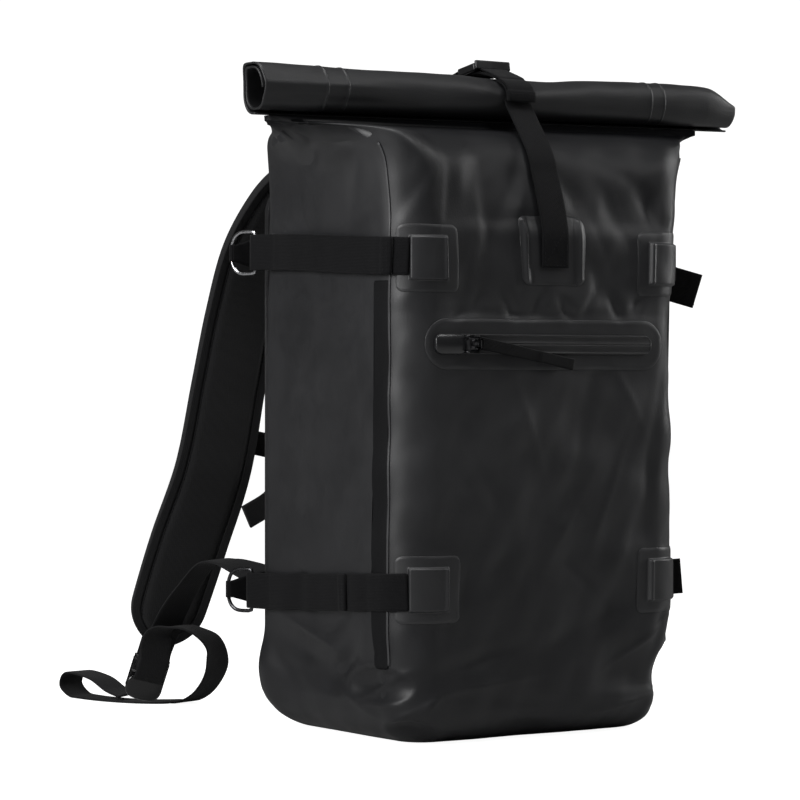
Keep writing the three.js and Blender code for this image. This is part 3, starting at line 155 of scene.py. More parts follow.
# Folds and dents of the body: place along the face from the middle of the front (left is negative), height,
# half length, half width, angle of the length in degrees, depth (negative stands out) and how sharp its
# crest is.
FOLDS = np.array([
    # foot at the left front corner: a pressed-in lens with a bright rim
    (-150, 46, 26, 3, 22, -2.4, 1), (-128, 24, 30, 5, 24, -1.8, 1), (-318, 48, 30, 26, 0, -5, 0),
    (-110, 30, 12, 4, 50, -2, 1), (-165, 92, 26, 5, 66, -1.1, 1), (-190, 60, 40, 8, 12, 1.6, 0),
    (-225, 44, 46, 7, -8, 1.5, 0), (-182, 30, 26, 6, -20, -1.2, 1), (-176, 110, 40, 12, 80, -1.2, 0),
    # foot at the right front corner: hollow and notch
    (78, 46, 34, 20, -10, 5, 0), (118, 48, 18, 14, 50, 3, 0), (138, 40, 34, 26, 0, 10, 0),
    (150, 72, 24, 6, 20, -2.5, 1), (70, 22, 30, 6, 6, -2.2, 1), (60, 92, 26, 16, 30, 2.6, 0),
    (112, 88, 34, 7, 74, 2.6, 0), (92, 70, 34, 5, 28, -2, 1), (126, 20, 12, 9, 40, 3, 0),
    # foot of the left side
    (-252, 62, 50, 12, -14, 4, 0), (-236, 76, 42, 6, -16, -2, 1), (-196, 62, 22, 8, 40, 3, 0),
    (-284, 52, 30, 10, -30, 2.4, 0), (-250, 190, 20, 40, 0, 1.6, 0), (-190, 200, 22, 60, 0, -1.2, 0),
    # lower front
    (-70, 62, 44, 8, 14, 2, 0), (-60, 44, 40, 5, 6, -1.6, 1), (-24, 30, 44, 7, -6, 1.8, 0),
    (10, 74, 40, 9, 20, 1.5, 0), (36, 120, 30, 8, -38, 1.3, 0), (-84, 110, 46, 7, 64, 1.3, 0),
    (-40, 140, 40, 10, 40, 1, 0), (18, 168, 34, 6, 58, -0.8, 1), (80, 150, 40, 8, 70, 1.3, 0),
    (56, 186, 46, 6, 66, -0.9, 1), (96, 204, 50, 6, 84, 1.1, 0), (-64, 205, 40, 8, -62, 0.9, 0),
    (-20, 236, 40, 6, -70, -0.7, 1), (34, 246, 44, 7, 76, 0.9, 0), (74, 262, 30, 5, -60, -0.8, 1),
    (108, 262, 40, 6, 80, 1.4, 0),
    # puckers above the zip
    (-66, 330, 13, 5, 62, 1.6, 0), (-36, 326, 12, 5, -60, 1.7, 0), (-10, 331, 11, 4, 66, 1.5, 0),
    (14, 326, 11, 4, -52, 1.6, 0), (38, 332, 12, 4, 56, 1.6, 0), (62, 328, 13, 5, -60, 1.8, 0),
    (84, 334, 14, 5, 60, 1.6, 0), (-86, 318, 16, 5, 40, 1.3, 0), (0, 322, 90, 4, 0, 0.7, 0),
    # folds beside and below the roll's strap
    (-30, 408, 34, 7, 60, 3, 0), (-22, 402, 32, 5, 66, -1.6, 1), (-52, 392, 38, 8, 78, 2.6, 0),
    (-62, 384, 34, 5, 76, -1.4, 1), (-88, 404, 34, 8, 66, 2.8, 0), (-98, 388, 40, 5, 72, -1.5, 1),
    (-112, 420, 26, 6, 48, 1.8, 0), (-44, 432, 26, 6, 30, 1.8, 0), (26, 412, 34, 7, -60, 3.2, 0),
    (34, 398, 40, 5, -66, -1.8, 1), (44, 376, 30, 8, -70, 2.2, 0), (62, 402, 34, 8, -58, 2.6, 0),
    (72, 392, 36, 5, -62, -1.4, 1), (90, 412, 30, 7, -50, 2.2, 0), (52, 438, 30, 6, -24, 1.8, 0),
    (100, 386, 36, 6, -74, 1.8, 0), (118, 400, 30, 5, 76, -1.6, 1), (-22, 366, 20, 6, 74, 2, 0),
    (42, 352, 20, 6, -70, 1.8, 0),
    # right edge
    (128, 330, 50, 6, 88, 1.8, 0), (138, 366, 40, 5, 84, -1.4, 1), (136, 230, 70, 7, 90, 1.4, 0),
    (130, 150, 50, 6, 86, -1, 1), (150, 420, 34, 7, 70, 2.4, 0),
    # top of both sides, folded in under the roll
    (-188, 459, 36, 4, -6, 4, 0), (-186, 464, 34, 3, -5, -2.4, 1), (-176, 452, 26, 4, -9, 2.6, 0),
    (-204, 449, 30, 7, 16, 2.2, 0), (-196, 440, 34, 6, 12, -1.2, 0), (-170, 432, 34, 7, 70, 1.4, 0),
    (-184, 410, 44, 12, 82, -0.8, 0), (-232, 430, 44, 12, 76, 1.0, 0), (188, 459, 36, 4, 6, 4, 0),
    (204, 449, 30, 7, -16, 2.2, 0), (170, 432, 34, 7, -70, 1.6, 0),
    # soft hollows in the side panels
    (-226, 230, 90, 40, 88, 1.4, 0), (-200, 150, 60, 24, 70, 0.8, 0), (226, 230, 90, 40, 88, 1.4, 0),
    (-212, 86, 34, 8, 30, 1.2, 0), (-250, 110, 30, 8, -50, 1, 0), (212, 70, 40, 10, -20, 1.6, 0),
    (430, 60, 60, 14, 10, 2, 0), (-430, 60, 60, 14, -10, 2, 0),
])

# Pressed-in ovals at the foot with a crisp rim: place, height, half length, half height and depth
OVALS = ((-157, 45, 37, 14, 7), (-127, 11, 25, 10, 4))

# Places stiffened by what is welded on: place, height, half length and half height
STIFF = ((-108, 362, 27, 26), (-108, 117, 27, 26), (108, 362, 27, 26), (108, 117, 27, 26), (3, 370, 30, 27),
         (-4, 299, 114, 19))


def relief(s, z):
    """Depth of all folds and of the cloth's unevenness at a place. A fold is a bell across its line, or a
    sharp crest, times a bell along it; the front's folds above the zip are calmer, and what is welded on
    stays flat."""
    depth = np.zeros(np.broadcast(s, z).shape)
    around = 4 * QUARTER
    for place, high, long, wide, angle, deep, sharp in FOLDS:
        ds = (s - place + around / 2) % around - around / 2
        dz = z - high
        c, d = math.cos(math.radians(angle)), math.sin(math.radians(angle))
        a, b = (ds * c + dz * d) / long, (dz * c - ds * d) / wide
        line = np.exp(-np.abs(b) * 1.6) if sharp else np.exp(-b * b)
        depth += 1.2 * deep * line * np.exp(-a * a)
    depth *= 1 - 0.65 * np.clip((z - 335) / 30, 0, 1) * np.exp(-(s / 125) ** 6)
    for place, high, long, tall, deep in OVALS:
        far = ((s - place) / long) ** 2 + ((z - high) / tall) ** 2
        depth += deep * np.clip(1 - far, 0, 1) ** 0.8
    soft = 0.35 + 0.65 * np.exp(-(s / 150) ** 6)
    depth += soft * (1.9 * ripple(s, z, 95, 3) + 0.95 * ripple(s, z, 42, 5) + 0.1 * ripple(s, z, 17, 8))
    for place, high, long, tall in STIFF:
        depth *= 1 - 0.8 * np.exp(-((s - place) / long) ** 8 - ((z - high) / tall) ** 8)
    fade = np.clip(z / 12, 0, 1) * np.clip((HEIGHT - 2 - z) / 12, 0, 1)
    return depth * fade


def body_plain(q, n):
    """Point of the body's face without folds: q runs from the front's middle (0) by the right side (1), back
    (2) and left side (3); n is the row number. A rounded rectangle turns into the flat mouth row by row,
    each point by the share inward; what is held, near the left front corner, goes in later and stands out
    less."""
    q, n = np.broadcast_arrays(np.asarray(q, float) % 4, np.asarray(n, float))
    whole = np.floor(q)
    share = np.where(whole % 2 == 0, q - whole, 1 - (q - whole))
    sx = np.where(whole < 2, 1, -1)
    sy = np.where((whole == 0) | (whole == 3), -1, 1)
    numbers = np.arange(len(ROWS))
    columns = (smooth(n, numbers, column) for column in ROWS.T)
    front, back, front_in, back_in, flare, belly, corner, gusset, inset = columns
    half_width, half_depth = WIDTH / 2 - inset, DEPTH / 2 - inset
    radius = np.maximum(CORNER - inset * 0.4, 1)
    x, y = corner_spot(share, half_width, half_depth, radius)
    out_y = y + np.where(sy < 0, 4, 0) * belly * np.maximum(1 - (x / half_width) ** 2, 0)
    out_x = x + 3 * belly * np.maximum(1 - (y / half_depth) ** 2, 0)
    lip = GAP / 2 - 1
    mouth_x = np.where(sx > 0, RIGHT_END, LEFT_END) * (1 - (1 - share) ** 1.9)
    mouth_y = lip * np.minimum(1, 12 * (1 - share)) ** 0.5
    forward = 0.5 - 0.5 * sy * y / half_depth
    inward = back_in + (front_in - back_in) * forward
    held = np.exp(-((share - 0.58) / 0.2) ** 2) * (1 - bump_of(share - 0.8, 0.2)) * (sx < 0) * (sy < 0)
    inward = inward ** (1 + 1.6 * held)
    corner = corner * (1 - 0.7 * held)
    out_x = out_x * (flare + corner / 132 * forward ** 2) + gusset * (1 - (y / half_depth) ** 2)
    px = (out_x * (1 - inward) + mouth_x * inward) * sx
    py = out_y * sy * (1 - inward) + (mouth_y * sy - FORWARD) * inward
    pz = (back + (front - back) * forward) * HEIGHT + TILT * inward * px / (MOUTH / 2)
    return np.stack([px, py, pz], -1)


TOP_ROW = len(ROWS) - 1


def unit(v):
    """Vectors brought to length 1."""
    return v / np.maximum(np.linalg.norm(v, axis=-1, keepdims=True), 1e-9)


def normals_of(function, q, n, dq, dn):
    """Unit normals of a body surface from small steps along its two parameters."""
    below, above = np.clip(n - dn, 0, TOP_ROW), np.clip(n + dn, 0, TOP_ROW)
    return unit(np.cross(function(q + dq, n) - function(q - dq, n), function(q, above) - function(q, below)))


def body_face(q, n):
    """The folded face: the plain one moved inwards along its normal by the relief."""
    q, n = np.broadcast_arrays(np.asarray(q, float), np.asarray(n, float))
    plain = body_plain(q, n)
    normal = normals_of(body_plain, q, n, 0.01, 0.01)
    s = ((q + 2) % 4 - 2) * QUARTER
    return plain - normal * relief(s, plain[..., 2])[..., None]


def row_of(z):
    """Row number whose front lies at a height."""
    fine = np.linspace(0, TOP_ROW, 900)
    return np.interp(z, smooth(fine, np.arange(len(ROWS)), ROWS[:, 0]) * HEIGHT, fine)


def hug(s, z, lift):
    """Point at a distance over the folded face, at a place along it and a height."""
    q, n = np.broadcast_arrays(np.asarray(s, float) / QUARTER, row_of(np.asarray(z, float)))
    normal = normals_of(body_face, q, n, 0.008, 0.03)
    return body_face(q, n) + normal * np.asarray(lift, float)[..., None]


# Meshes
def dressed(name, mesh, material, nodes):
    """Object of a mesh, riding the root with its material and the nodes it stands for."""
    mesh.materials.append(material)
    thing = bpy.data.objects.new(name, mesh)
    bpy.context.scene.collection.objects.link(thing)
    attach(thing, "root")
    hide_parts(*nodes)
    return thing


def finish_mesh(name, verts, faces, uvs, material, nodes, closed=True):
    """Object in metres from points, faces and corner UVs; its faces are turned outwards."""
    verts = np.asarray(verts, float).reshape(-1, 3) * MM
    faces = np.asarray(faces)
    if closed:
        a, b, c, d = (verts[faces[:, k]] for k in range(4))
        volume = np.einsum("ij,ij->", a, np.cross(b, c)) + np.einsum("ij,ij->", a, np.cross(c, d))
        if volume < 0:
            faces, uvs = faces[:, ::-1], uvs[:, ::-1]
    mesh = bpy.data.meshes.new(name)
    mesh.vertices.add(len(verts))
    mesh.vertices.foreach_set("co", verts.astype(np.float32).ravel())
    mesh.loops.add(faces.size)
    mesh.loops.foreach_set("vertex_index", faces.astype(np.int32).ravel())
    mesh.polygons.add(len(faces))
    mesh.polygons.foreach_set("loop_start", np.arange(0, faces.size, 4, dtype=np.int32))
    mesh.uv_layers.new(name="UVMap")
    mesh.uv_layers[0].uv.foreach_set("vector", np.asarray(uvs, np.float32).ravel())
    mesh.update(calc_edges=True)
    weld = bmesh.new()
    weld.from_mesh(mesh)
    bmesh.ops.remove_doubles(weld, verts=weld.verts, dist=1e-6)
    bmesh.ops.dissolve_degenerate(weld, edges=weld.edges, dist=1e-7)
    for face in weld.faces:
        face.smooth = True
    weld.to_mesh(mesh)
    weld.free()
    return dressed(name, mesh, material, nodes)


def grid_faces(rows, columns, wrap_rows=False, wrap_columns=False):
    """Quads over a grid and, for each corner, its row and column counted on past the seam."""
    r, c = np.meshgrid(np.arange(rows - (not wrap_rows)), np.arange(columns - (not wrap_columns)),
                       indexing="ij")
    corner_r = np.stack([r, r, r + 1, r + 1], -1).reshape(-1, 4)
    corner_c = np.stack([c, c + 1, c + 1, c], -1).reshape(-1, 4)
    return (corner_r % rows) * columns + corner_c % columns, corner_r, corner_c


def skin(name, points, u, v, material, nodes, wrap_rows=False, wrap_columns=False):
    """Mesh over a grid of points with UVs in metres from one list along the rows and one along the
    columns."""
    rows, columns = points.shape[:2]
    faces, corner_r, corner_c = grid_faces(rows, columns, wrap_rows, wrap_columns)
    uvs = np.stack([np.asarray(u)[corner_r], np.asarray(v)[corner_c]], -1) * MM
    return finish_mesh(name, points, faces, uvs, material, nodes)


def close_ends(points):
    """Adds a ring drawn to its middle at both ends of a tube, so that it is closed."""
    first, last = (np.repeat(ring.mean(1, keepdims=True), points.shape[1], 1)
                   for ring in (points[:1], points[-1:]))
    return np.concatenate([first, points, last])


def curve(points, count):
    """Points at equal distances on a Catmull-Rom curve through the given ones, with each one's parameter and
    its way along the curve."""
    points = np.asarray(points, float)
    last = len(points) - 1
    t = np.linspace(0, last, 60 * last + 1)
    i = np.clip(t.astype(int), 0, last - 1)
    f = (t - i)[:, None]
    before = np.where((i > 0)[:, None], points[np.maximum(i - 1, 0)], 2 * points[0] - points[1])
    after = np.where((i < last - 1)[:, None], points[np.minimum(i + 2, last)], 2 * points[-1] - points[-2])
    a, b = points[i], points[i + 1]
    bend = 2 * before - 5 * a + 4 * b - after + f * (3 * (a - b) + after - before)
    fine = a + 0.5 * f * (b - before + f * bend)
    length = np.concatenate([[0], np.cumsum(np.linalg.norm(np.diff(fine, axis=0), axis=1))])
    even = np.linspace(0, length[-1], count)
    place = np.interp(even, length, t)
    return np.stack([np.interp(even, length, fine[:, k]) for k in range(3)], 1), place, even


# Section of webbing: shares of half the width and of half the thickness, going round it
SECTION = np.array([
    (-1, 0), (-0.985, -0.6), (-0.94, -0.95), (-0.8, -1), (-0.4, -1), (0, -1), (0.4, -1), (0.8, -1),
    (0.94, -0.95), (0.985, -0.6), (1, 0), (0.985, 0.6), (0.94, 0.95), (0.8, 1), (0.4, 1), (0, 1), (-0.4, 1),
    (-0.8, 1), (-0.94, 0.95), (-0.985, 0.6),
])


def band(name, path, across, wide, thick, material, nodes):
    """Flat strap along a path: at each point a thin rounded section, wide along across and thick along its
    face. Wide and thick are one number or one for each point."""
    path, across = np.asarray(path, float), np.asarray(across, float)
    run = unit(np.gradient(path, axis=0))
    face = unit(np.cross(run, across))
    side = np.cross(face, run)
    wide = np.broadcast_to(np.asarray(wide, float), len(path))[:, None, None] / 2
    thick = np.broadcast_to(np.asarray(thick, float), len(path))[:, None, None] / 2
    points = (path[:, None] + side[:, None] * SECTION[None, :, :1] * wide
              + face[:, None] * SECTION[None, :, 1:] * thick)
    length = np.concatenate([[0], np.cumsum(np.linalg.norm(np.diff(path, axis=0), axis=1))])
    u = np.concatenate([[0], length, length[-1:]])
    v = np.concatenate([SECTION[:, 0], SECTION[:1, 0]]) * wide.mean()
    return skin(name, close_ends(points), u, v, material, nodes, wrap_columns=True)


def strip(name, points, across, count, wide, thick, material, nodes):
    """Strap on a smooth curve through given points, with one width direction or one at each, and one
    thickness or one at each."""
    path, place, _ = curve(points, count)
    across = np.asarray(across, float)
    if across.ndim > 1:
        across = np.stack([np.interp(place, np.arange(len(across)), across[:, k]) for k in range(3)], 1)
    else:
        across = np.repeat(across[None], count, 0)
    if np.ndim(thick):
        thick = np.interp(place, np.arange(len(thick)), thick)
    return band(name, path, across, wide, thick, material, nodes)


def plate(name, s0, s1, z0, z1, height, material, nodes, corner=6, count=(60, 60), under=0.3,
          soft=1.2):
    """Welded sheet on the body between two places and two heights, with round corners. Its upper face lies
    over the body by the height function of (distance from the middle, height from the middle), its under
    face below."""
    s_mid, z_mid, half_s, half_z = (s0 + s1) / 2, (z0 + z1) / 2, (s1 - s0) / 2, (z1 - z0) / 2
    ends = np.sin(np.linspace(-math.pi / 2, math.pi / 2, count[0]))
    sides = np.sin(np.linspace(-math.pi / 2, math.pi / 2, count[1]))
    a, b = np.meshgrid(0.4 * ends + 0.6 * np.linspace(-1, 1, count[0]),
                       0.4 * sides + 0.6 * np.linspace(-1, 1, count[1]), indexing="ij")
    over = np.maximum(np.abs(a) * half_s - (half_s - corner), 0)
    trim = corner - np.sqrt(np.maximum(corner ** 2 - over ** 2, 0))
    ds, dz = a * half_s, b * (half_z - trim)
    inside = np.minimum(half_s - np.abs(ds), (half_z - trim) - np.abs(dz))
    rim = bump_of(inside + 0.5, soft)
    top = under + np.maximum(height(ds, dz), 0) * rim
    upper = hug(s_mid + ds, z_mid + dz, top)
    lower = hug(s_mid + ds, z_mid + dz, np.full_like(top, under - 0.25))
    points = np.concatenate([upper, lower[:, ::-1]], 1)
    u = s_mid + ds[:, count[1] // 2]
    v = np.concatenate([z_mid + dz[count[0] // 2], z_mid + dz[count[0] // 2, ::-1],
                        [z_mid + dz[count[0] // 2, 0]]])
    u = np.concatenate([u[:1], u, u[-1:]])
    return skin(name, close_ends(points), u, v, material, nodes, wrap_columns=True)


def ring_wire(name, path, radius, material, nodes, around=14):
    """Round wire along a flat closed path: circles square to the path's run, set in the path's own plane."""
    run = unit(np.roll(path, -1, 0) - np.roll(path, 1, 0))
    flat = np.linalg.svd(path - path.mean(0))[2][2]
    side = unit(np.cross(run, flat))
    angle = np.linspace(0, 2 * math.pi, around, endpoint=False)
    points = (path[:, None] + radius * (side[:, None] * np.cos(angle)[None, :, None]
                                        + flat[None, None] * np.sin(angle)[None, :, None]))
    u, v = np.arange(len(points) + 1.0), np.arange(around + 1.0)
    return skin(name, points, u, v, material, nodes, wrap_rows=True, wrap_columns=True)


def blocks(name, parts, axes, material, nodes, radius, segments=3):
    """Moulded piece of rounded blocks, each given by its middle and its size along the three axes. Its flat
    faces stay flat in the shading."""
    work = bmesh.new()
    for middle, size in parts:
        made = bmesh.ops.create_cube(work, size=1)["verts"]
        matrix = np.asarray(axes, float).T * np.asarray(size, float)[None] * MM
        for vert in made:
            vert.co = matrix @ np.array(vert.co) + np.asarray(middle, float) * MM
        edges = {edge for vert in made for edge in vert.link_edges}
        small = min(radius, min(size) * 0.42) * MM
        bmesh.ops.bevel(work, geom=list(edges), offset=small, segments=segments, profile=0.5, affect="EDGES")
    bmesh.ops.recalc_face_normals(work, faces=work.faces)
    for face in work.faces:
        face.smooth = bool(max(abs(np.dot(face.normal, axis)) for axis in axes) < 0.999)
    mesh = bpy.data.meshes.new(name)
    work.to_mesh(mesh)
    work.free()
    return dressed(name, mesh, material, nodes)


def pebble(name, middle, size, axes, material):
    """Smooth moulded tongue: a flattened superellipsoid with the given half sizes along three axes."""
    tilt = np.linspace(-math.pi / 2, math.pi / 2, 26)[:, None]
    turn = np.linspace(0, 2 * math.pi, 56, endpoint=False)[None]

    def rounded(value, power):
        """Power of a value that keeps its sign."""
        return np.sign(value) * np.abs(value) ** power

    ring = rounded(np.cos(tilt), 0.42)
    local = (ring * rounded(np.cos(turn), 0.62), ring * rounded(np.sin(turn), 0.8),
             rounded(np.sin(tilt), 0.7) + 0 * turn)
    points = np.asarray(middle, float) + sum(part[..., None] * length * np.asarray(axis)
                                             for part, length, axis in zip(local, size, axes))
    return skin(name, points, np.arange(27.0), np.arange(57.0), material, (), wrap_columns=True)


def stitching(name, lines, material, length=2.1, gap=1.1, radius=0.34):
    """Thread: along each line, given as (path, normals), small rounded dashes lying half in the cloth."""
    verts, faces, count = [], [], 0
    angle = np.linspace(0, 2 * math.pi, 6, endpoint=False)
    ring = np.stack([np.cos(angle), np.sin(angle)], 1)
    ends = np.array([(-1, 0.25), (-0.8, 0.85), (0, 1), (0.8, 0.85), (1, 0.25)])
    for path, normal in lines:
        path, normal = np.asarray(path, float), np.asarray(normal, float)
        way = np.concatenate([[0], np.cumsum(np.linalg.norm(np.diff(path, axis=0), axis=1))])
        starts = np.arange(0.5 * gap, way[-1] - length, length + gap)
        if not len(starts):
            continue
        at = np.stack([np.interp(starts + length / 2, way, path[:, k]) for k in range(3)], 1)
        run = unit(np.stack([np.interp(starts + length, way, path[:, k]) - np.interp(starts, way, path[:, k])
                             for k in range(3)], 1))
        out = unit(np.stack([np.interp(starts + length / 2, way, np.broadcast_to(normal, path.shape)[:, k])
                             for k in range(3)], 1))
        side = unit(np.cross(run, out))
        rim = side[:, None, None] * ring[None, None, :, :1] + out[:, None, None] * ring[None, None, :, 1:]
        dash = (at[:, None, None] + run[:, None, None] * (ends[:, 0] * length / 2)[None, :, None, None]
                + rim * radius * ends[None, :, None, 1:])
        block = dash.reshape(-1, 3)
        local, _, _ = grid_faces(5, 6, wrap_columns=True)
        faces.append((local[None] + 30 * np.arange(len(at))[:, None, None] + count).reshape(-1, 4))
        verts.append(block)
        count += len(block)
    faces = np.concatenate(faces)
    return finish_mesh(name, np.concatenate(verts), faces, np.zeros((len(faces), 4, 2)), material, (),
                       closed=False)


# Materials
def node(tree, kind, inputs=None, **settings):
    """Adds a node, sets its properties and fills or links its inputs."""
    made = tree.nodes.new(kind)
    for key, value in settings.items():
        setattr(made, key, value)
    for key, value in (inputs or {}).items():
        if isinstance(value, bpy.types.NodeSocket):
            tree.links.new(value, made.inputs[key])
        else:
            made.inputs[key].default_value = value
    return made


def shader(name, colour, rough, specular, metallic=0.0, sheen=0.0):
    """Material with its own plain values; returns it with its tree and its Principled node."""
    material = bpy.data.materials.new(name)
    material.use_nodes = True
    principled = material.node_tree.nodes["Principled BSDF"]
    values = {"Base Color": (*colour, 1), "Roughness": rough, "Specular IOR Level": specular,
              "Metallic": metallic, "Sheen Weight": sheen, "Sheen Roughness": 0.5}
    for key, value in values.items():
        principled.inputs[key].default_value = value
    return material, material.node_tree, principled


def noise(tree, scale, detail, rough=0.5, place=None):
    """Noise over the object's own place, or over a given one."""
    if place is None:
        place = node(tree, "ShaderNodeTexCoord").outputs["Object"]
    return node(tree, "ShaderNodeTexNoise", {"Vector": place, "Scale": scale, "Detail": detail,
                                             "Roughness": rough}).outputs["Fac"]


def ramp(tree, value, low, high, out_low, out_high):
    """Value mapped from one range to another, held inside it."""
    return node(tree, "ShaderNodeMapRange", {"Value": value, "From Min": low, "From Max": high,
                                             "To Min": out_low, "To Max": out_high}).outputs["Result"]


def maths(tree, operation, a, b=0.0):
    """One sum of two values."""
    return node(tree, "ShaderNodeMath", {0: a, 1: b}, operation=operation).outputs[0]


def weighted(tree, *terms):
    """Sum of values, each times its weight."""
    parts = [maths(tree, "MULTIPLY", value, weight) for value, weight in terms]
    total = parts[0]
    for part in parts[1:]:
        total = maths(tree, "ADD", total, part)
    return total


def colours(tree, factor, dark, light):
    """Colour between a dark and a light one by a factor."""
    made = node(tree, "ShaderNodeMix", {"Factor": factor}, data_type="RGBA")
    made.inputs[6].default_value = (*dark, 1)
    made.inputs[7].default_value = (*light, 1)
    return made.outputs[2]


def new_group(name, **inputs):
    """Node group with number inputs, each with its usual value."""
    group = bpy.data.node_groups.new(name, "ShaderNodeTree")
    for label, value in inputs.items():
        socket = group.interface.new_socket(label, in_out="INPUT", socket_type="NodeSocketFloat")
        socket.default_value = value
    return group, group.nodes.new("NodeGroupInput").outputs


def give(group, **values):
    """Gives the group number outputs and links each one's value to it."""
    for label in values:
        group.interface.new_socket(label, in_out="OUTPUT", socket_type="NodeSocketFloat")
    made = group.nodes.new("NodeGroupOutput")
    for label, value in values.items():
        group.links.new(value, made.inputs[label])
    return group


def coat_group():
    """Coated cloth: a fine woven grain showing through, soft mottling, faint scuffs drawn downwards, broad
    clouds, and a painted shade that falls from 1: the roll's painted shadow in the nip under it, painted
    shade towards the foot, and painted shade high up on the front, back and right side."""
    group, _ = new_group("coated_grain")
    place = node(group, "ShaderNodeTexCoord").outputs["Object"]
    stretched = node(group, "ShaderNodeMapping", {"Vector": place, "Scale": (1.0, 1.0, 0.18)}).outputs[0]
    across, _, height = node(group, "ShaderNodeSeparateXYZ", {0: place}).outputs
    # Painted shade: the roll's shadow painted into the nip, darker towards the foot, and darker high up
    # everywhere but on the left side
    nip = ramp(group, height, 0.462, 0.4665, 1.0, 0.0)
    foot = ramp(group, height, 0.06, 0.22, 0.65, 1.0)
    top = maths(group, "MAXIMUM", ramp(group, across, -0.12, -0.1, 1.0, 0.5),
                ramp(group, height, 0.33, 0.4, 1.0, 0.5))
    return give(
        group,
        Grain=noise(group, 900.0, 3.0, 0.6, place),
        Mottle=ramp(group, noise(group, 26.0, 5.0, 0.62, place), 0.3, 0.7, 0.0, 1.0),
        Scuff=ramp(group, noise(group, 160.0, 4.0, 0.7, stretched), 0.6, 0.8, 0.0, 1.0),
        Broad=ramp(group, noise(group, 8.5, 3.0, 0.55, place), 0.32, 0.68, 0.0, 1.0),
        Shade=maths(group, "MULTIPLY", maths(group, "MULTIPLY", nip, foot), top),
    )


def weave_group():
    """Webbing: ribs along the strap crossed by short floats, from the strap's own UV in metres. The height
    is (sine over the ribs + 1) times (sine over the floats + 1.3); every other rib's floats are shifted by
    half."""
    group, given = new_group("webbing_weave", Rib=0.0011, Float=0.0013)
    uv = node(group, "ShaderNodeUVMap").outputs[0]
    along, across, _ = node(group, "ShaderNodeSeparateXYZ", {0: uv}).outputs
    ribs = maths(group, "DIVIDE", across, given["Rib"])
    rib = maths(group, "SINE", maths(group, "MULTIPLY", ribs, 2 * math.pi))
    shift = maths(group, "MULTIPLY", maths(group, "PINGPONG", maths(group, "ROUND", ribs), 1.0), 0.5)
    floats = maths(group, "ADD", maths(group, "DIVIDE", along, given["Float"]), shift)
    cross = maths(group, "SINE", maths(group, "MULTIPLY", floats, 2 * math.pi))
    both = maths(group, "MULTIPLY", maths(group, "ADD", rib, 1.0), maths(group, "ADD", cross, 1.3))
    return give(group, Height=maths(group, "MULTIPLY", both, 0.22), Fuzz=noise(group, 700.0, 3.0))


def knit_group():
    """Spacer mesh: small cells in rows, with soft clouds."""
    group, _ = new_group("knit_cells")
    place = node(group, "ShaderNodeTexCoord").outputs["Object"]
    cell = node(group, "ShaderNodeTexVoronoi", {"Vector": place, "Scale": 620.0, "Randomness": 0.35})
    return give(group, Height=cell.outputs["Distance"], Cloud=noise(group, 60.0, 4.0, 0.5, place))


COAT, WEAVE, KNIT = coat_group(), weave_group(), knit_group()


def use(tree, group, **values):
    """Puts a group into a material; returns its outputs."""
    made = tree.nodes.new("ShaderNodeGroup")
    made.node_tree = group
    for key, value in values.items():
        made.inputs[key].default_value = value
    return made.outputs


def bumped(tree, principled, height, strength, distance):
    """Bumps the surface by a height."""
    bump = node(tree, "ShaderNodeBump", {"Height": height, "Strength": strength, "Distance": distance})
    tree.links.new(bump.outputs[0], principled.inputs["Normal"])


def coated(name, dark, light, rough_low, rough_high, specular, grain=0.25, with_painted_shade=False):
    """Coated cloth: two close tones mottled, roughness by mottle and scuff, a fine grain as bump. With painted
    shade it is also painted darker and duller where the coat group's painted shade falls."""
    material, tree, principled = shader(name, dark, rough_low, specular)
    out = use(tree, COAT)
    tint = weighted(tree, (out["Mottle"], 0.3), (out["Grain"], 0.3), (out["Broad"], 0.55))
    if with_painted_shade:
        # Painted shade: tone and specular level fall under the roll, towards the foot and high up on the body
        tint = maths(tree, "MULTIPLY", tint, out["Shade"])
        tree.links.new(ramp(tree, out["Shade"], 0.0, 1.0, 0.02, specular),
                       principled.inputs["Specular IOR Level"])
    tree.links.new(colours(tree, tint, dark, light), principled.inputs["Base Color"])
    worn = weighted(tree, (out["Mottle"], 1.0), (out["Scuff"], 0.5))
    tree.links.new(ramp(tree, worn, 0.0, 1.3, rough_low, rough_high), principled.inputs["Roughness"])
    bumped(tree, principled, out["Grain"], grain, 0.00035)
    return material


def woven(name, dark, light, rib=0.0011, flat=0.0013, strength=0.5, specular=0.25):
    """Webbing: tone and bump follow the weave."""
    material, tree, principled = shader(name, dark, 0.82, specular, sheen=0.03)
    out = use(tree, WEAVE, Rib=rib, Float=flat)
    tone = weighted(tree, (out["Height"], 0.7), (out["Fuzz"], 0.4))
    tree.links.new(colours(tree, tone, dark, light), principled.inputs["Base Color"])
    bumped(tree, principled, out["Height"], strength, 0.0004)
    return material


def knitted(name, dark, light):
    """Spacer mesh: cells darker in their holes, mottled."""
    material, tree, principled = shader(name, dark, 0.93, 0.2, sheen=0.15)
    out = use(tree, KNIT)
    tone = weighted(tree, (out["Height"], 0.9), (out["Cloud"], 0.3))
    tree.links.new(colours(tree, tone, light, dark), principled.inputs["Base Color"])
    bumped(tree, principled, out["Height"], 0.45, 0.0005)
    return material


def moulded(name, colour, rough):
    """Moulded plastic: a faint orange-peel bump and uneven gloss."""
    material, tree, principled = shader(name, colour, rough, 0.5)
    cloud = noise(tree, 90.0, 3.0)
    tree.links.new(ramp(tree, cloud, 0.3, 0.7, rough - 0.06, rough + 0.08), principled.inputs["Roughness"])
    bumped(tree, principled, noise(tree, 420.0, 2.0), 0.12, 0.0002)
    return material


def steel(name, colour, rough):
    """Plated metal: slight tarnish in its roughness."""
    material, tree, principled = shader(name, colour, rough, 0.5, metallic=1.0)
    cloud = noise(tree, 300.0, 4.0)
    tree.links.new(ramp(tree, cloud, 0.3, 0.75, rough * 0.7, rough * 1.6), principled.inputs["Roughness"])
    return material
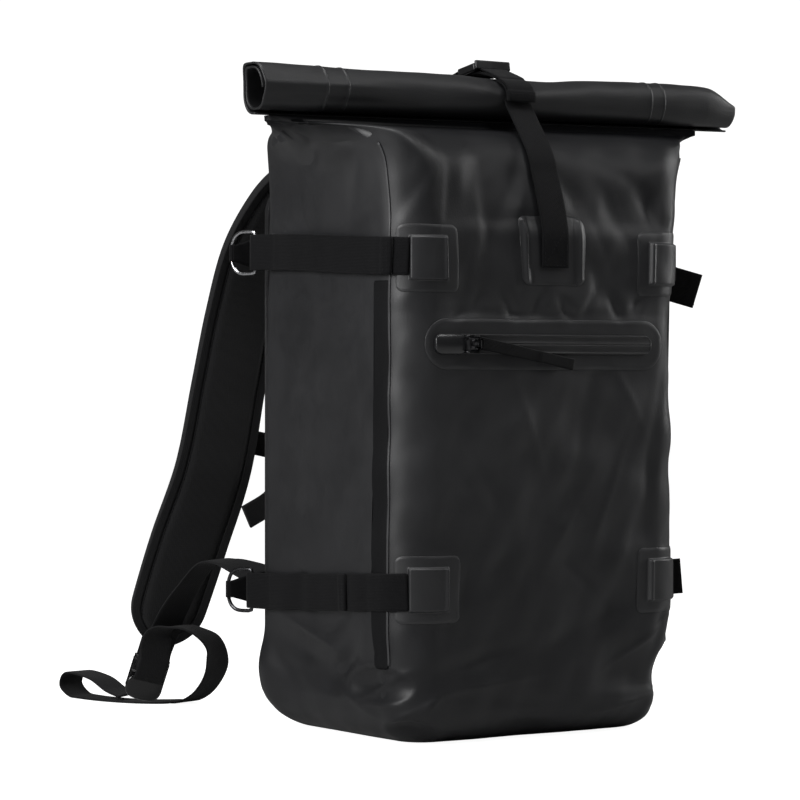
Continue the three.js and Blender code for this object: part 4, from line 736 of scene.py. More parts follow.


# The body's cloth carries the coat group's painted shade
front_cloth = coated("front_cloth", (0.0042, 0.0043, 0.005), (0.0118, 0.012, 0.0134), 0.42, 0.58, 0.45,
                     with_painted_shade=True)
patch_cloth = coated("patch_cloth", (0.0066, 0.0067, 0.0076), (0.0104, 0.0106, 0.0118), 0.4, 0.54, 0.45)
roll_cloth = coated("roll_cloth", (0.005, 0.0051, 0.0058), (0.009, 0.0092, 0.0102), 0.44, 0.6, 0.4,
                    grain=0.4)
tape_cloth = coated("tape_cloth", (0.0028, 0.0028, 0.0032), (0.005, 0.0051, 0.0057), 0.66, 0.78, 0.1)
# The welt's lighter tone is a painted highlight on its raised edge
welt_highlight_cloth = coated("welt_highlight_cloth", (0.014, 0.0142, 0.0155), (0.024, 0.0243, 0.026), 0.34, 0.46, 0.5)
zip_cloth = coated("zip_cloth", (0.0034, 0.0034, 0.0039), (0.0068, 0.0068, 0.0076), 0.4, 0.54, 0.45)
garage_cloth = coated("garage_cloth", (0.0042, 0.0043, 0.005), (0.0085, 0.0087, 0.0097), 0.2, 0.3, 0.5)
strap_web = woven("strap_web", (0.0009, 0.0009, 0.0011), (0.0088, 0.0088, 0.0097), specular=0.07)
puller_web = woven("puller_web", (0.0011, 0.0011, 0.0013), (0.0065, 0.0065, 0.0072), rib=0.0009,
                   specular=0.12)
adjuster_web = woven("adjuster_web", (0.0018, 0.0018, 0.0021), (0.0085, 0.0085, 0.0094), rib=0.0013,
                     specular=0.2)
pad_mesh = knitted("pad_mesh", (0.0016, 0.0016, 0.0019), (0.0075, 0.0075, 0.0083))
binding = woven("binding", (0.0024, 0.0024, 0.0028), (0.0072, 0.0072, 0.008), rib=0.0016, flat=0.0016,
                strength=0.3)
thread = woven("thread", (0.0035, 0.0035, 0.004), (0.0085, 0.0085, 0.0095), specular=0.12)
plastic = moulded("plastic", (0.0035, 0.0035, 0.004), 0.34)
gloss_plastic = moulded("gloss_plastic", (0.0012, 0.0012, 0.0015), 0.17)
# One plated metal in two copies: the darker one is painted shade for the lower rings
wire = steel("wire", (0.3, 0.3, 0.31), 0.17)
painted_shade_wire = steel("painted_shade_wire", (0.05, 0.05, 0.053), 0.24)
slider_metal = steel("slider_metal", (0.12, 0.12, 0.125), 0.32)


def body():
    """Closed skin: the flat foot grows out to the rounded edge, the face rises to the mouth, and an inner
    face, a wall's thickness inside, goes back down to its own floor."""
    around = 300
    q = np.linspace(0, 4, around, endpoint=False)
    low = np.linspace(0, 6, 34)
    heights = np.linspace(BASE + 1.2, HEIGHT * 0.972, 218)
    high = np.linspace(row_of(HEIGHT * 0.972), TOP_ROW, 22)[1:]
    n = np.concatenate([low, row_of(heights), high])
    face = body_face(q[None], n[:, None])
    face[0, :, 2] = 0
    foot = face[:1] * np.array([1, 1, 0]) * np.array([0.02, 0.3, 0.6, 0.85])[:, None, None]
    inner_n = n[::-1][::9]
    inner_q, inner_row = np.broadcast_arrays(q[None], inner_n[:, None])
    normal = normals_of(body_plain, inner_q, inner_row, 0.01, 0.01)
    inner = body_face(inner_q, inner_row) - WALL_THICK * normal
    floor = inner[-1:] * np.array([1, 1, 0]) * np.array([0.6, 0.02])[:, None, None] + 1.8 * UP
    points = np.concatenate([foot, face, inner, floor])
    u = points[:, 0, 2]
    u = np.concatenate([u[:1], u, u[-1:]])
    v = np.linspace(0, 4 * QUARTER, around + 1)
    skin("bag_body", close_ends(points), u, v, front_cloth, ["shell"], wrap_columns=True)


body()


def level_tape(s, z):
    """Height of a seam tape: the same all over."""
    return 0.55 + 0 * s


def seams():
    """Side seams: a dark tape and a fine raised welt beside it, painted lighter as a highlight."""
    for side, name in SIDES:
        a, b = sorted((side * (CORNER_END + 8), side * (CORNER_END - 9)))
        plate(f"seam_tape_{name}_laid", a, b, 58, 346, level_tape, tape_cloth,
              [f"seam_tape_{name}"], corner=2, count=(14, 130))
        z = np.linspace(61, 447, 170)
        path, ahead = (hug(side * (CORNER_END - inset), z, 0.3) for inset in (9.6, 8.6))
        band(f"seam_welt_{name}", path, unit(ahead - path), 1.9, 1.3, welt_highlight_cloth, ())


seams()

# Lash points: name, side, height at the front and at the ring as shares of HEIGHT, how far the strap comes
# back as a share of DEPTH, and the length of an end that stands off
LASHES = [
    ("upper_left", -1, 0.77, 0.793, 0.782, 0),
    ("lower_left", -1, 0.249, 0.227, 0.55, 0),
    ("upper_right", 1, 0.77, 0.793, 0.66, 76),
    ("lower_right", 1, 0.249, 0.227, 0.68, 36),
]
WINDOW_WIDE, WINDOW_TALL = 31, 33
WINDOW_FROM = WIDTH / 2 - 8 - WINDOW_WIDE
LASH_WIDE, WEB = 28, 1.6
LASH_END = QUARTER + DEPTH / 2 - CORNER
# The ring's way past the strap's end, its wire, its size across and how far its bow reaches
REACH, WIRE, RING_TALL, RING_DEEP = 20, 3, 36, 24
# Space between a strap and what it runs round
GAP_WEB = 0.3


def lash_patch(name, side, front):
    """Welded square with a raised window: a pillow whose front edge stands highest."""
    middle = side * (WINDOW_FROM + WINDOW_WIDE / 2)

    def height(s, z):
        """Thin sheet, the window's pillow, its high front edge and its sunk middle."""
        s = s * side
        base = 0.4 + 0 * s
        inside = np.minimum(WINDOW_WIDE / 2 - np.abs(s), WINDOW_TALL / 2 - np.abs(z))
        pillow = 2.6 * bump_of(inside + 0.4, 1.7)
        crest = 1.3 * np.exp(-((s + WINDOW_WIDE / 2 - 2.6) / 1.3) ** 2) * bump_of(inside, 1.5)
        sunk = -0.5 * np.exp(-(s / 8) ** 2 - (z / 9) ** 2)
        return base + pillow + crest + sunk

    plate(f"lash_patch_{name}_laid", middle - 26, middle + 26, front * HEIGHT - 25, front * HEIGHT + 25,
          height, patch_cloth, [f"lash_patch_{name}"], corner=6, count=(74, 74), soft=2.8)


def lash_height(front, rear, s):
    """Height of a lash strap's middle along the face: a straight line from the front to the ring."""
    share = np.clip((s - CORNER_START) / (LASH_END - CORNER_START), 0, 1)
    return (front + (rear - front) * share) * HEIGHT


def ring_frame(side, rear):
    """Middle of the ring's bar, the ring's direction, the way on along the side, and outwards."""
    out = np.array([side * 1.0, 0.03, 0])
    level = np.array([0, 1.0, 0])
    bar = hug(side * LASH_END, rear * HEIGHT, 0.0) + out * 4.9 + level * REACH
    return bar, level * math.cos(0.41) + out * math.sin(0.41), level, out


def ring(name, bar, swing, material):
    """Wire ring: a straight bar, and a bow that is half of a superellipse set a little off the bar."""
    half, bow_root = RING_TALL / 2 - WIRE / 2, 8.4
    t = np.linspace(-math.pi / 2, math.pi / 2, 40)
    bow_x = bow_root + (RING_DEEP - WIRE / 2 - bow_root) * np.cos(t) ** (2 / 2.6)
    bow_z = np.sign(np.sin(t)) * np.abs(np.sin(t)) ** (2 / 2.6) * half
    straight = np.linspace(half, -half, 26)[1:-1]
    x = np.concatenate([[0, 3], bow_x, [3, 0], np.zeros(24)])
    z = np.concatenate([[-half + 0.9, -half + 0.1], bow_z, [half - 0.1, half - 0.9], straight * 0.93])
    path = bar + swing * x[:, None] + UP * z[:, None]
    ring_wire(f"d_ring_{name}_wire", path, WIRE / 2, material, [f"d_ring_{name}"])


def ring_tab(name, side, bow, level, out):
    """Tab folded round the ring's bow, narrow there and wide at its sewn ends."""
    count = 60
    root = np.array([side * 118.5, DEPTH / 2 + 6.3, bow[2]])
    angle = np.linspace(0, math.pi, 12)[:, None]
    curl = bow + 2.5 * (-level * np.cos(angle) + out * np.sin(angle))
    path, _, _ = curve(np.concatenate([[root - level * 1.3], curl, [root + level * 1.3]]), count)
    wide = 13 + 14 * np.clip(np.abs(np.linspace(-1, 1, count)) * 1.5 - 0.4, 0, 1)
    band(f"ring_tab_{name}_folded", path, np.repeat(UP[None], count, 0), wide, WEB, strap_web,
         [f"ring_tab_{name}"])


def lash(name, side, front, rear, tail, off):
    """Lash point: the strap runs from the window's slit to the ring's bar, round it and back over itself to
    a folded hem, at the right with an end that stands off. Returns the hem's stitch lines."""
    lash_patch(name, side, front)
    bar, swing, level, out = ring_frame(side, rear)
    lift = 1.5 + WEB / 2
    s = np.linspace(WINDOW_FROM + WINDOW_WIDE + 0.5, LASH_END, 60)
    near = hug(side * s, lash_height(front, rear, s), lift)
    radius = WIRE / 2 + GAP_WEB + WEB / 2
    angle = np.linspace(0, math.pi, 12)[:, None]
    turn = bar - out * radius * np.cos(angle) + level * radius * np.sin(angle)
    s = np.linspace(LASH_END - 2, LASH_END - tail * DEPTH + off, 60)
    back = hug(side * s, lash_height(front, rear, s), lift + WEB + 0.5)
    path = np.concatenate([near[:-1], turn, back])
    if off:
        run = unit(back[-1] - back[-4])
        t = np.linspace(0, 1, 16)[1:, None]
        drop = 24 if off > 40 else -2
        free = back[-1] + run * off * t + out * off * 0.75 * t ** 1.7 - UP * drop * t ** 1.3
        path = np.concatenate([path, free])
    path, _, way = curve(path[::2], 240)
    left = way[-1] - way
    thick = np.where(left < 0.7, 2.2, np.where(left < 9, 3.3, WEB))
    band(f"lash_strap_{name}_laid", path, np.repeat(UP[None], len(path), 0), LASH_WIDE, thick, strap_web,
         [f"lash_strap_{name}"])
    hem = path[left < 8.6]
    face = unit(np.cross(unit(np.gradient(path, axis=0))[left < 8.6], UP))
    face = face * np.sign(np.dot(face[0], out))
    rows = UP * np.linspace(-12.5, 12.5, 12)[:, None]
    under = -1 if off else 1
    # The lower rings take the darker copy of the same metal as painted shade
    ring(name, bar, swing, wire if front > 0.5 else painted_shade_wire)
    ring_tab(name, side, bar + swing * (RING_DEEP - WIRE), level, out)
    return [(hem[k] + face[k] * 1.6 + rows, face[k] * under) for k in (1, len(hem) - 3)]


stitch_lines = []
for row in LASHES:
    stitch_lines += lash(*row)

# Rolled mouth: its size, the height of its middle, its turns and the space between them
ROLL_LENGTH, ROLL_TALL, ROLL_DEEP = 446, 38, 36
ROLL_Z = HEIGHT + GAP_WEB + ROLL_TALL / 2 + TILT * 0.08
TURNS, PITCH = 1.75, 3.4
# Along from -1 to 1, then shares of the upper height and of the depth
ROLL_ROWS = np.array([
    (-1, 1.13, 0.96), (-0.9, 1.08, 1), (-0.62, 1.0, 1.03), (-0.3, 0.99, 1.04), (-0.06, 0.98, 1.04),
    (0.08, 0.97, 1.04), (0.2, 0.97, 1.03), (0.5, 1.0, 1), (0.82, 0.99, 0.96), (0.9, 0.93, 0.95),
    (1, 0.3, 0.84),
])
# Strap over the roll: its middle in x and its width, then how deep it squeezes the roll, at which angle and
# over what angle
STRAP_X, STRAP_WIDE = 3.0, 25
SQUEEZE, SQUEEZE_AT, SQUEEZE_OVER = 5.5, 2.1, 0.55
# Where weld lines run round it, in mm from its middle
WELDS = (-170, -152, 137, 150)


def roll_spot(along, turn, inset):
    """Point of the wound strip: a squarish circle whose radius shrinks as it winds, with the roll's own
    folds. The left end is squarer at its top, a ridge runs along its front and the lower half rests on the
    mouth."""
    tall = smooth(along, ROLL_ROWS[:, 0], ROLL_ROWS[:, 1])
    deep = smooth(along, ROLL_ROWS[:, 0], ROLL_ROWS[:, 2])
    angle = (turn - 0.25) * 2 * math.pi
    cosine, sine = np.cos(angle), np.sin(angle)
    around = np.mod(angle, 2 * math.pi)
    x = along * ROLL_LENGTH / 2
    first = np.clip((1.04 - turn) / 0.12, 0, 1)
    left = np.clip((-0.72 - along) / 0.28, 0, 1)
    right = np.clip((along - 0.88) / 0.12, 0, 1)
    soft = 0.55 * ripple(x, angle * 18, 70, 11) + 0.25 * ripple(x, angle * 18, 26, 12)
    soft = soft * (1 - np.clip(-sine, 0, 1) ** 3)
    weld = sum(np.exp(-((x - place) / 0.8) ** 2) for place in WELDS) * 0.5
    ridge = 2.2 * np.exp(-np.abs(around - math.radians(174)) / 0.24) * np.exp(-((along + 0.85) / 0.3) ** 4)
    valley = 0.9 * np.exp(-((around - math.radians(205)) / 0.22) ** 2) * np.exp(-((along + 0.8) / 0.34) ** 4)
    dip = 1.8 * np.exp(-((x - 45) / 24) ** 2) * np.clip(sine, 0, 1)
    sag = 1.2 * np.exp(-((around - math.radians(200)) / 0.3) ** 2) * np.exp(-((along - 0.45) / 0.3) ** 2)
    squeeze = SQUEEZE * np.exp(-((around - SQUEEZE_AT) / SQUEEZE_OVER) ** 2) * np.exp(-((x
                                                                                         - STRAP_X) / 26) ** 2)
    facet = 3 * right * np.clip(-cosine - 0.1, 0, 1)
    cut = inset + PITCH * turn + first * (soft - weld - ridge + valley + dip + sag + squeeze + facet)
    high = np.where(sine > 0, tall, 1.015)
    near = np.exp(-((x - STRAP_X) / 42) ** 2)
    power = 2 / (2.5 - 0.5 * near + 2.6 * left * (cosine > 0) * (sine > 0))
    y = np.sign(cosine) * np.abs(cosine) ** power * (ROLL_DEEP / 2 * deep - cut)
    z = np.sign(sine) * np.abs(sine) ** power * (ROLL_TALL / 2 * high - cut)
    slant = 5 * right - 3 * np.clip(-sine - 0.3, 0, 1) * right - 2.5 * left ** 3 * np.clip(sine, 0, 1)
    return np.stack(np.broadcast_arrays(x + slant, y - FORWARD, z + ROLL_Z + TILT * along), -1)


def roll():
    """Rolled mouth: one wound sheet with its own thickness, closed at its lips, with finer rows at the
    welds."""
    even = np.sin(np.linspace(-math.pi / 2, math.pi / 2, 200)) * 0.25 + np.linspace(-0.75, 0.75, 200)
    fine = [(place + np.linspace(-2.4, 2.4, 11)) * 2 / ROLL_LENGTH for place in WELDS]
    along = np.sort(np.concatenate([even, *fine]))
    turn = np.linspace(0, TURNS, 150)
    a, t = np.meshgrid(along, turn, indexing="ij")
    points = np.concatenate([roll_spot(a, t, 0.0), roll_spot(a, t, WALL_THICK)[:, ::-1]], 1)
    middle_left = (points[:1] + points[:1, ::-1]) / 2
    middle_right = (points[-1:] + points[-1:, ::-1]) / 2
    middle_left[..., 0] -= 0.5
    middle_right[..., 0] += 0.5
    points = np.concatenate([middle_left, points[:1], points, points[-1:], middle_right])
    u = np.concatenate([[0, 0], along * ROLL_LENGTH / 2, [0, 0]])
    v = np.concatenate([turn * 110, turn[::-1] * 110, [0]])
    skin("rolled_mouth", points, u, v, roll_cloth, ["roll_top"], wrap_columns=True)


roll()

# Buckle on the roll: its middle, the strap's run through it and the way out of its face
BUCKLE = np.array([STRAP_X, ROLL_DEEP / 2 - FORWARD + 10, ROLL_Z + ROLL_TALL / 2 + 5.2])
RUN = np.array([0, math.cos(0.15), -math.sin(0.15)])
FACE = np.array([0, math.sin(0.15), math.cos(0.15)])


def buckle_spot(run, lift, x=0.0):
    """Point by the buckle: along the strap's run, over it and to the side."""
    return BUCKLE + RUN * run + FACE * lift + SIDEWAYS * x


def over_roll(degrees, lift):
    """Point over the roll's middle: an ellipse with a lift, pressed in by the squeeze; 90 is the top and 180
    the front."""
    angle = math.radians(degrees)
    c, s = math.cos(angle), math.sin(angle)
    lift = lift - SQUEEZE * math.exp(-((angle - SQUEEZE_AT) / SQUEEZE_OVER) ** 2)
    y = c * (ROLL_DEEP / 2 * 1.04 + lift)
    z = s * (ROLL_TALL / 2 * 0.98 + lift)
    return np.array([STRAP_X, y - FORWARD, z + ROLL_Z])


def closure():
    """Patch, strap, rear strap and buckle. The strap rises from the patch over the roll's front to the
    buckle, goes round its front bar and comes back down over itself. Returns the stitch lines."""
    half = 29

    def height(s, z):
        """Flat sheet with a ridge along each upright edge and a groove inside it."""
        edge = half - np.abs(s)
        ridge = 1.7 * np.exp(-((edge - 4.2) / 1.9) ** 2) * bump_of(26 - np.abs(z), 4)
        groove = -0.45 * np.exp(-((edge - 8.6) / 1.5) ** 2)
        return 0.45 + ridge + groove

    plate("closure_patch_laid", STRAP_X - half, STRAP_X + half, 344, 396, height, patch_cloth,
          ["closure_patch"], corner=7, count=(70, 50), soft=3)
    foot, rise, slack = 357, 89, 1.6
    share = np.array([0, 0.1, 0.3, 0.55, 0.8, 1])
    high = foot + share * rise
    low = hug(STRAP_X, high, 2.5 + slack * np.sin(math.pi * share))
    low[:, 0] = STRAP_X
    up_roll = [over_roll(angle, 1.4) for angle in (200, 184, 162, 140, 118, 100)]
    radius, turn = 3.1, np.linspace(0, math.pi, 9)
    around = [buckle_spot(radius * math.sin(a), -radius * math.cos(a)) for a in turn]
    over = [buckle_spot(-2.6, 2.2), buckle_spot(-7, -1.5), buckle_spot(-9.3, -1.6), buckle_spot(-12.2, -2)]
    down = [over_roll(angle, 3.7) for angle in (110, 124, 142, 160, 178, 190)]
    path = np.array([*low, *up_roll, buckle_spot(-9.3, -4.2), *around, *over, *down])
    path, _, way = curve(path, 320)
    hem = way > way[-1] - 8
    band("closure_strap_laid", path, np.repeat(SIDEWAYS[None], len(path), 0),
         np.where(hem, 26.4, STRAP_WIDE), np.where(hem, 3.4, WEB), strap_web, ["closure_strap"])
    wide, low_z, top_z = 10.3, 359, 388
    corners = [(-wide, low_z), (wide, low_z), (wide, top_z), (-wide, top_z), (-wide, low_z), (wide, top_z)]
    pairs = [*zip(corners[:-1], corners[1:]), ((wide, low_z), (-wide, top_z))]
    share = np.linspace(0, 1, 20)
    lines = []
    for a, b in pairs:
        x = STRAP_X + a[0] * (1 - share) + b[0] * share
        z = a[1] * (1 - share) + b[1] * share
        y = hug(x, z, 3.35 + slack * np.sin(math.pi * (z - foot) / rise))[:, 1]
        lines.append((np.stack([x, y, z], 1), FORWARDS))
    near = path[np.searchsorted(way, way[-1] - 6.5)]
    out = unit(np.cross(SIDEWAYS, path[-1] - path[-4]))
    out = out if out[1] < 0 else -out
    lines.append((near + out * 1.75 + SIDEWAYS * np.linspace(-12, 12, 20)[:, None], out))
    back = DEPTH / 2
    edge = HEIGHT * 0.968
    bend = [buckle_spot(9.25 - radius * math.sin(a), -radius * math.cos(a)) for a in turn]
    rear = np.array([
        (STRAP_X, back + 1.4, 431), (STRAP_X, back + 1.4, edge - 6), (STRAP_X, back - 1.2, edge + 5),
        (STRAP_X, back - 14, edge + 13), (STRAP_X, (back - 14) * 0.5 + 5, edge + 33), buckle_spot(32, -4.8),
        *bend, buckle_spot(21, 2.1), buckle_spot(37, 0.7),
    ])
    strip("closure_strap_rear_laid", rear, SIDEWAYS, 160, STRAP_WIDE, WEB, strap_web,
          ["closure_strap_rear"])
    parts = [
        (buckle_spot(0, 0, -15.2), (3.8, 22.5, 6)),
        (buckle_spot(0, 0, 15.2), (3.8, 22.5, 6)),
        (buckle_spot(-9.6, 1.6), (31, 3.4, 3)),
        (buckle_spot(0, -0.3), (31, 3.3, 2.8)),
        (buckle_spot(9.3, 0), (31, 3.3, 3)),
        (buckle_spot(-12.2, 1.2), (33, 2.8, 7.4)),
    ]
    blocks("closure_buckle_moulded", parts, (SIDEWAYS, RUN, FACE), plastic, ["closure_buckle"],
           radius=1.1)
    return lines


stitch_lines += closure()

# Height of the front zip's middle
ZIP_Z = 299


def zip_parts():
    """Backing, tape with its coil and slit, end cover, slider and puller."""
    def backing(s, z):
        """Thin sheet with a faint line near its round-ended rim."""
        ends = np.maximum(np.abs(s) - 92, 0)
        inside = 19 - np.sqrt(ends ** 2 + z ** 2)
        return 0.42 + 0.1 * np.exp(-((inside - 3) / 1.6) ** 2)

    def tape(s, z):
        """Flat tape with a low rim and, along its middle, a coil split by a slit."""
        inside = np.minimum(7.6 - np.abs(z), 100 - np.abs(s))
        rim = 0.35 * np.exp(-((inside - 1.1) / 0.8) ** 2)
        coil = 0.55 * np.exp(-(z / 1.9) ** 2) - 0.5 * np.exp(-(z / 0.35) ** 2)
        return 1.5 + rim + coil

    def garage(s, z):
        """Half-round cover, a little lower towards its ends."""
        return 1.6 + 2.9 * np.sqrt(np.clip(1 - (z / 8) ** 2, 0, 1)) - 0.5 * (s / 13) ** 2

    plate("zip_backing_laid", -114, 108, ZIP_Z - 19, ZIP_Z + 19, backing, patch_cloth,
          ["zip_backing"], corner=18.9, count=(150, 34), soft=3.2)
    plate("zip_tape_laid", -103.5, 96.5, ZIP_Z - 7.6, ZIP_Z + 7.6, tape, zip_cloth,
          ["zip_tape"], corner=7.5, count=(150, 60), under=0.5)
    plate("zip_garage_laid", -107.5, -80.5, ZIP_Z - 7.9, ZIP_Z + 7.9, garage, garage_cloth,
          ["zip_garage"], corner=6, count=(40, 36), under=1.2)
    at = hug(-76.3, ZIP_Z, 5.6)
    parts = [
        (at, (9, 4, 11)),
        (at + FORWARDS * 2.2 + SIDEWAYS * 1.5, (5.5, 3.4, 4)),
        (at + FORWARDS * 2.6 + SIDEWAYS * 4.6, (5, 1.8, 6.4)),
    ]
    blocks("zip_slider_cast", parts, (SIDEWAYS, FORWARDS, UP), slider_metal, ["zip_slider"],
           radius=1.3)
    t = np.linspace(0, 1, 90)
    path = hug(-71, ZIP_Z + 1, 5.9) * (1 - t[:, None]) + hug(17, ZIP_Z - 15, 4.6) * t[:, None]
    path = path + FORWARDS * 1.6 * np.sin(math.pi * t)[:, None]
    doubled = t > 0.63
    thick = np.where(doubled, 3.4, 1.9)
    wide = np.where(doubled, 8.6, 9.6 - 1.6 * t)
    band("zip_puller_hung", path, np.repeat([[0.17, 0, 0.985]], 90, 0), wide, thick, puller_web,
         ["zip_puller"])


zip_parts()

# Back pad and shoulder straps. Rows down a strap: shares of its spread, reach and drop, its turn in quarters
# and its width as a share
PAD_FOOT = DEPTH / 2 + GAP_WEB
PAD_ROWS = np.array([
    (0, 0, 0, 0, 0.86), (0.04, 0.17, 0.012, 0, 0.9), (0.16, 0.35, 0.07, 0, 0.96), (0.28, 0.53, 0.175, 0, 1),
    (0.37, 0.625, 0.305, 0.02, 1), (0.47, 0.685, 0.456, 0.05, 1), (0.6, 0.745, 0.637, 0.1, 1),
    (0.79, 0.845, 0.793, 0.17, 1), (0.92, 0.94, 0.92, 0.2, 0.97), (1, 1, 1, 0.2, 0.9),
])
PAD_SPREAD, PAD_REACH, PAD_TOP, PAD_DROP, PAD_ROOT, PAD_WIDE, PAD_THICK = 78, 140.7, 446, 388, 60, 65, 12


def pad_frame(side, count):
    """Middle line of a shoulder strap with its width and face directions, its width and the way along it."""
    spread, reach, drop, quarters, share = PAD_ROWS.T
    points = np.stack([side * (PAD_ROOT + PAD_SPREAD * spread), PAD_FOOT + PAD_REACH * reach,
                       PAD_TOP - PAD_DROP * drop], 1)
    path, place, way = curve(points, count)
    knots = np.arange(len(PAD_ROWS))
    turn = smooth(place, knots, quarters) * math.pi / 2
    wide = smooth(place, knots, share) * PAD_WIDE
    wide = wide * (1 - np.clip((way - way[-1] + 30) / 30, 0, 1) ** 2.4 * 0.75) ** 0.6
    run = unit(np.gradient(path, axis=0))
    level = np.stack([np.cos(turn), side * np.sin(turn), 0 * turn], 1)
    face = unit(np.cross(run, level))
    return path, np.cross(face, run), face, wide, run, way


def pad_crown(from_edge):
    """Share of a strap's half thickness by the distance from its edge: a thin bound rim, then a crown."""
    return 0.36 + 0.64 * bump_of(from_edge - 4.5, 9) + 0.1 * np.exp(-((from_edge - 3) / 2.2) ** 2)


def shoulder_pad(side, name):
    """Padded strap: a crowned section that thins to a bound edge, with a binding along each edge. Returns
    the stitch lines along the bindings and across the lower end."""
    path, across, face, wide, _, way = pad_frame(side, 190)
    angle = np.linspace(0, 2 * math.pi, 72, endpoint=False)
    c, s = np.cos(angle), np.sin(angle)
    x = np.sign(c) * np.abs(c) ** 0.72
    from_edge = (1 - np.abs(x))[None] * wide[:, None] / 2
    end = bump_of(way, 8)[:, None] * 0.3 + 0.7
    tail = 0.55 + 0.45 * bump_of(way[-1] - way, 16)[:, None]
    half = PAD_THICK / 2 * pad_crown(from_edge) * end * tail
    soft = 0.35 * ripple(way[:, None] + 0 * angle[None], (x * 30)[None], 60, 21 + int(side))
    z = (np.sign(s) * np.abs(s) ** 0.55)[None] * (half + soft * bump_of(from_edge - 6, 8))
    points = (path[:, None] + across[:, None] * (x[None] * wide[:, None] / 2)[..., None]
              + face[:, None] * z[..., None])
    u = np.concatenate([way[:1], way, way[-1:]])
    v = np.concatenate([x, x[:1]]) * 32
    pad = skin(f"shoulder_pad_{name}_sewn", close_ends(points), u, v, pad_mesh,
               [f"shoulder_pad_{name}"], wrap_columns=True)
    lines = []
    for edge in (-1, 1):
        rim = path + across * (edge * (wide / 2 - 3.4))[:, None]
        place = "outer" if edge * side > 0 else "inner"
        band(f"pad_binding_{name}_{place}", rim, across, 7.4, PAD_THICK * 0.6, binding, ())
        for inset in (5.9, 8.2):
            for up in (-1, 1):
                over = up * (PAD_THICK / 2 * pad_crown(inset) + 0.05)
                line = path + across * (edge * (wide / 2 - inset))[:, None] + face * over
                lines.append((line[6:-6], face[6:-6]))
    t = np.linspace(-7, 7, 14)[:, None]
    for back in (11, 15.5):
        k = np.searchsorted(way, way[-1] - back)
        for up in (-1, 1):
            lines.append((path[k] + across[k] * t + face[k] * up * 4.2, face[k]))
    return lines


def back_pad():
    """Back panel: a slab with crowned cushions between pressed channels, with round corners."""
    half, low, high, radius = 118, 48, 430, 26
    a, b = np.meshgrid(np.linspace(-1, 1, 110), np.linspace(0, 1, 150), indexing="ij")
    z = low + (high - low) * b
    over = np.maximum(np.maximum(low + radius - z, z - high + radius), 0)
    trim = radius - np.sqrt(np.maximum(radius ** 2 - over ** 2, 0))
    x = a * (half - trim)
    edge = np.minimum(np.minimum(half - trim - np.abs(x), z - low), high - z)
    level = sum(np.exp(-((z - at) / 4) ** 2) for at in (150, 250, 350))
    channel = np.exp(-((np.abs(x) - 26) / 4) ** 2) + level
    crown = 12 * bump_of(edge + 3, 12) ** 0.5 - 3.2 * np.minimum(channel, 1) * bump_of(edge, 14)
    outer = np.stack([x, PAD_FOOT + np.maximum(crown, 0.4), z], -1)
    inner = np.stack([x, PAD_FOOT + 0 * x, z], -1)
    points = np.concatenate([outer, inner[:, ::-1]], 1)
    u = np.concatenate([[-half], np.linspace(-half, half, 110), [half]])
    tall = high - low
    v = np.concatenate([np.linspace(0, tall, 150), np.linspace(tall, 0, 150), [0]])
    pad = skin("back_pad_sewn", close_ends(points), u, v, pad_mesh, ["back_pad"],
               wrap_columns=True)


back_pad()
for side, name in SIDES:
    stitch_lines += shoulder_pad(side, name)

# Lower adjusters: the lock's size and its drop from the pad. Then the webbing's three parts: from the bag's
# foot to the lock (shares of the way, turn of its width), through the lock (shares of its length and half
# thickness), and the free tail (place as shares, then its width's direction)
LOCK_TALL, LOCK_THICK, LOCK_HANG = 28, 4, 18
ADJUSTER = np.array([
    (0, 0, 1, 0, 0.9), (0.06, 0, 1.05, 0, 0.9), (0.16, 0.045, 1.13, 0.1, 0.8),
    (0.34, 0.17, 1.28, 0.25, 0.5), (0.54, 0.39, 1.43, 0.3, 0.1), (0.67, 0.57, 1.38, 0.3, 0),
    (0.86, 0.73, 0.92, 0.15, 0), (0.98, 0.88, 0.42, -0.15, 0), (1, 1, 0, -0.32, 0),
])
WOVEN_PATH = np.array([
    (0.6, 2.55), (0.33, 2.5), (0.2, 2.1), (0.12, 1.05), (0.09, 0), (0.065, -1.1), (0, -1.65), (-0.1, -1.7),
    (-0.17, -0.95), (-0.19, 0), (-0.185, 1), (-0.15, 2.1), (-0.07, 3.1), (0.07, 3.65), (0.35, 3.8),
    (0.6, 4.1),
])
TAIL = np.array([
    (-0.05, -0.155, 0.78, 0.93, -0.25, -0.2), (-0.05, -0.21, 0.92, 0.97, 0, -0.15),
    (0.1, -0.285, 1, 0.9, 0.4, 0), (0.35, -0.385, 0.98, 0.8, 0.6, 0), (0.71, -0.41, 0.79, 0.87, 0.5, 0),
    (0.99, -0.29, 0.48, 0.95, 0.3, 0), (1.05, -0.1, 0.19, 0.95, 0.3, 0),
    (0.99, 0.085, 0.025, 0.97, 0.25, 0), (0.8, 0.21, 0, 0.8, 0.6, 0), (0.415, 0.29, 0, 0.72, 0.7, 0),
    (0.1, 0.5, 0, 0.9, 0.45, 0), (-0.07, 0.8, 0, 0.98, 0.19, 0), (-0.17, 0.915, 0.03, 0.98, 0.19, 0),
    (-0.245, 0.975, 0.16, 0.98, 0.19, 0), (-0.21, 0.905, 0.31, 0.98, 0.19, 0),
    (-0.05, 0.68, 0.26, 0.98, 0.19, 0), (0.075, 0.53, 0.13, 0.98, 0.19, 0),
    (0.18, 0.43, 0.07, 0.98, 0.19, 0),
])


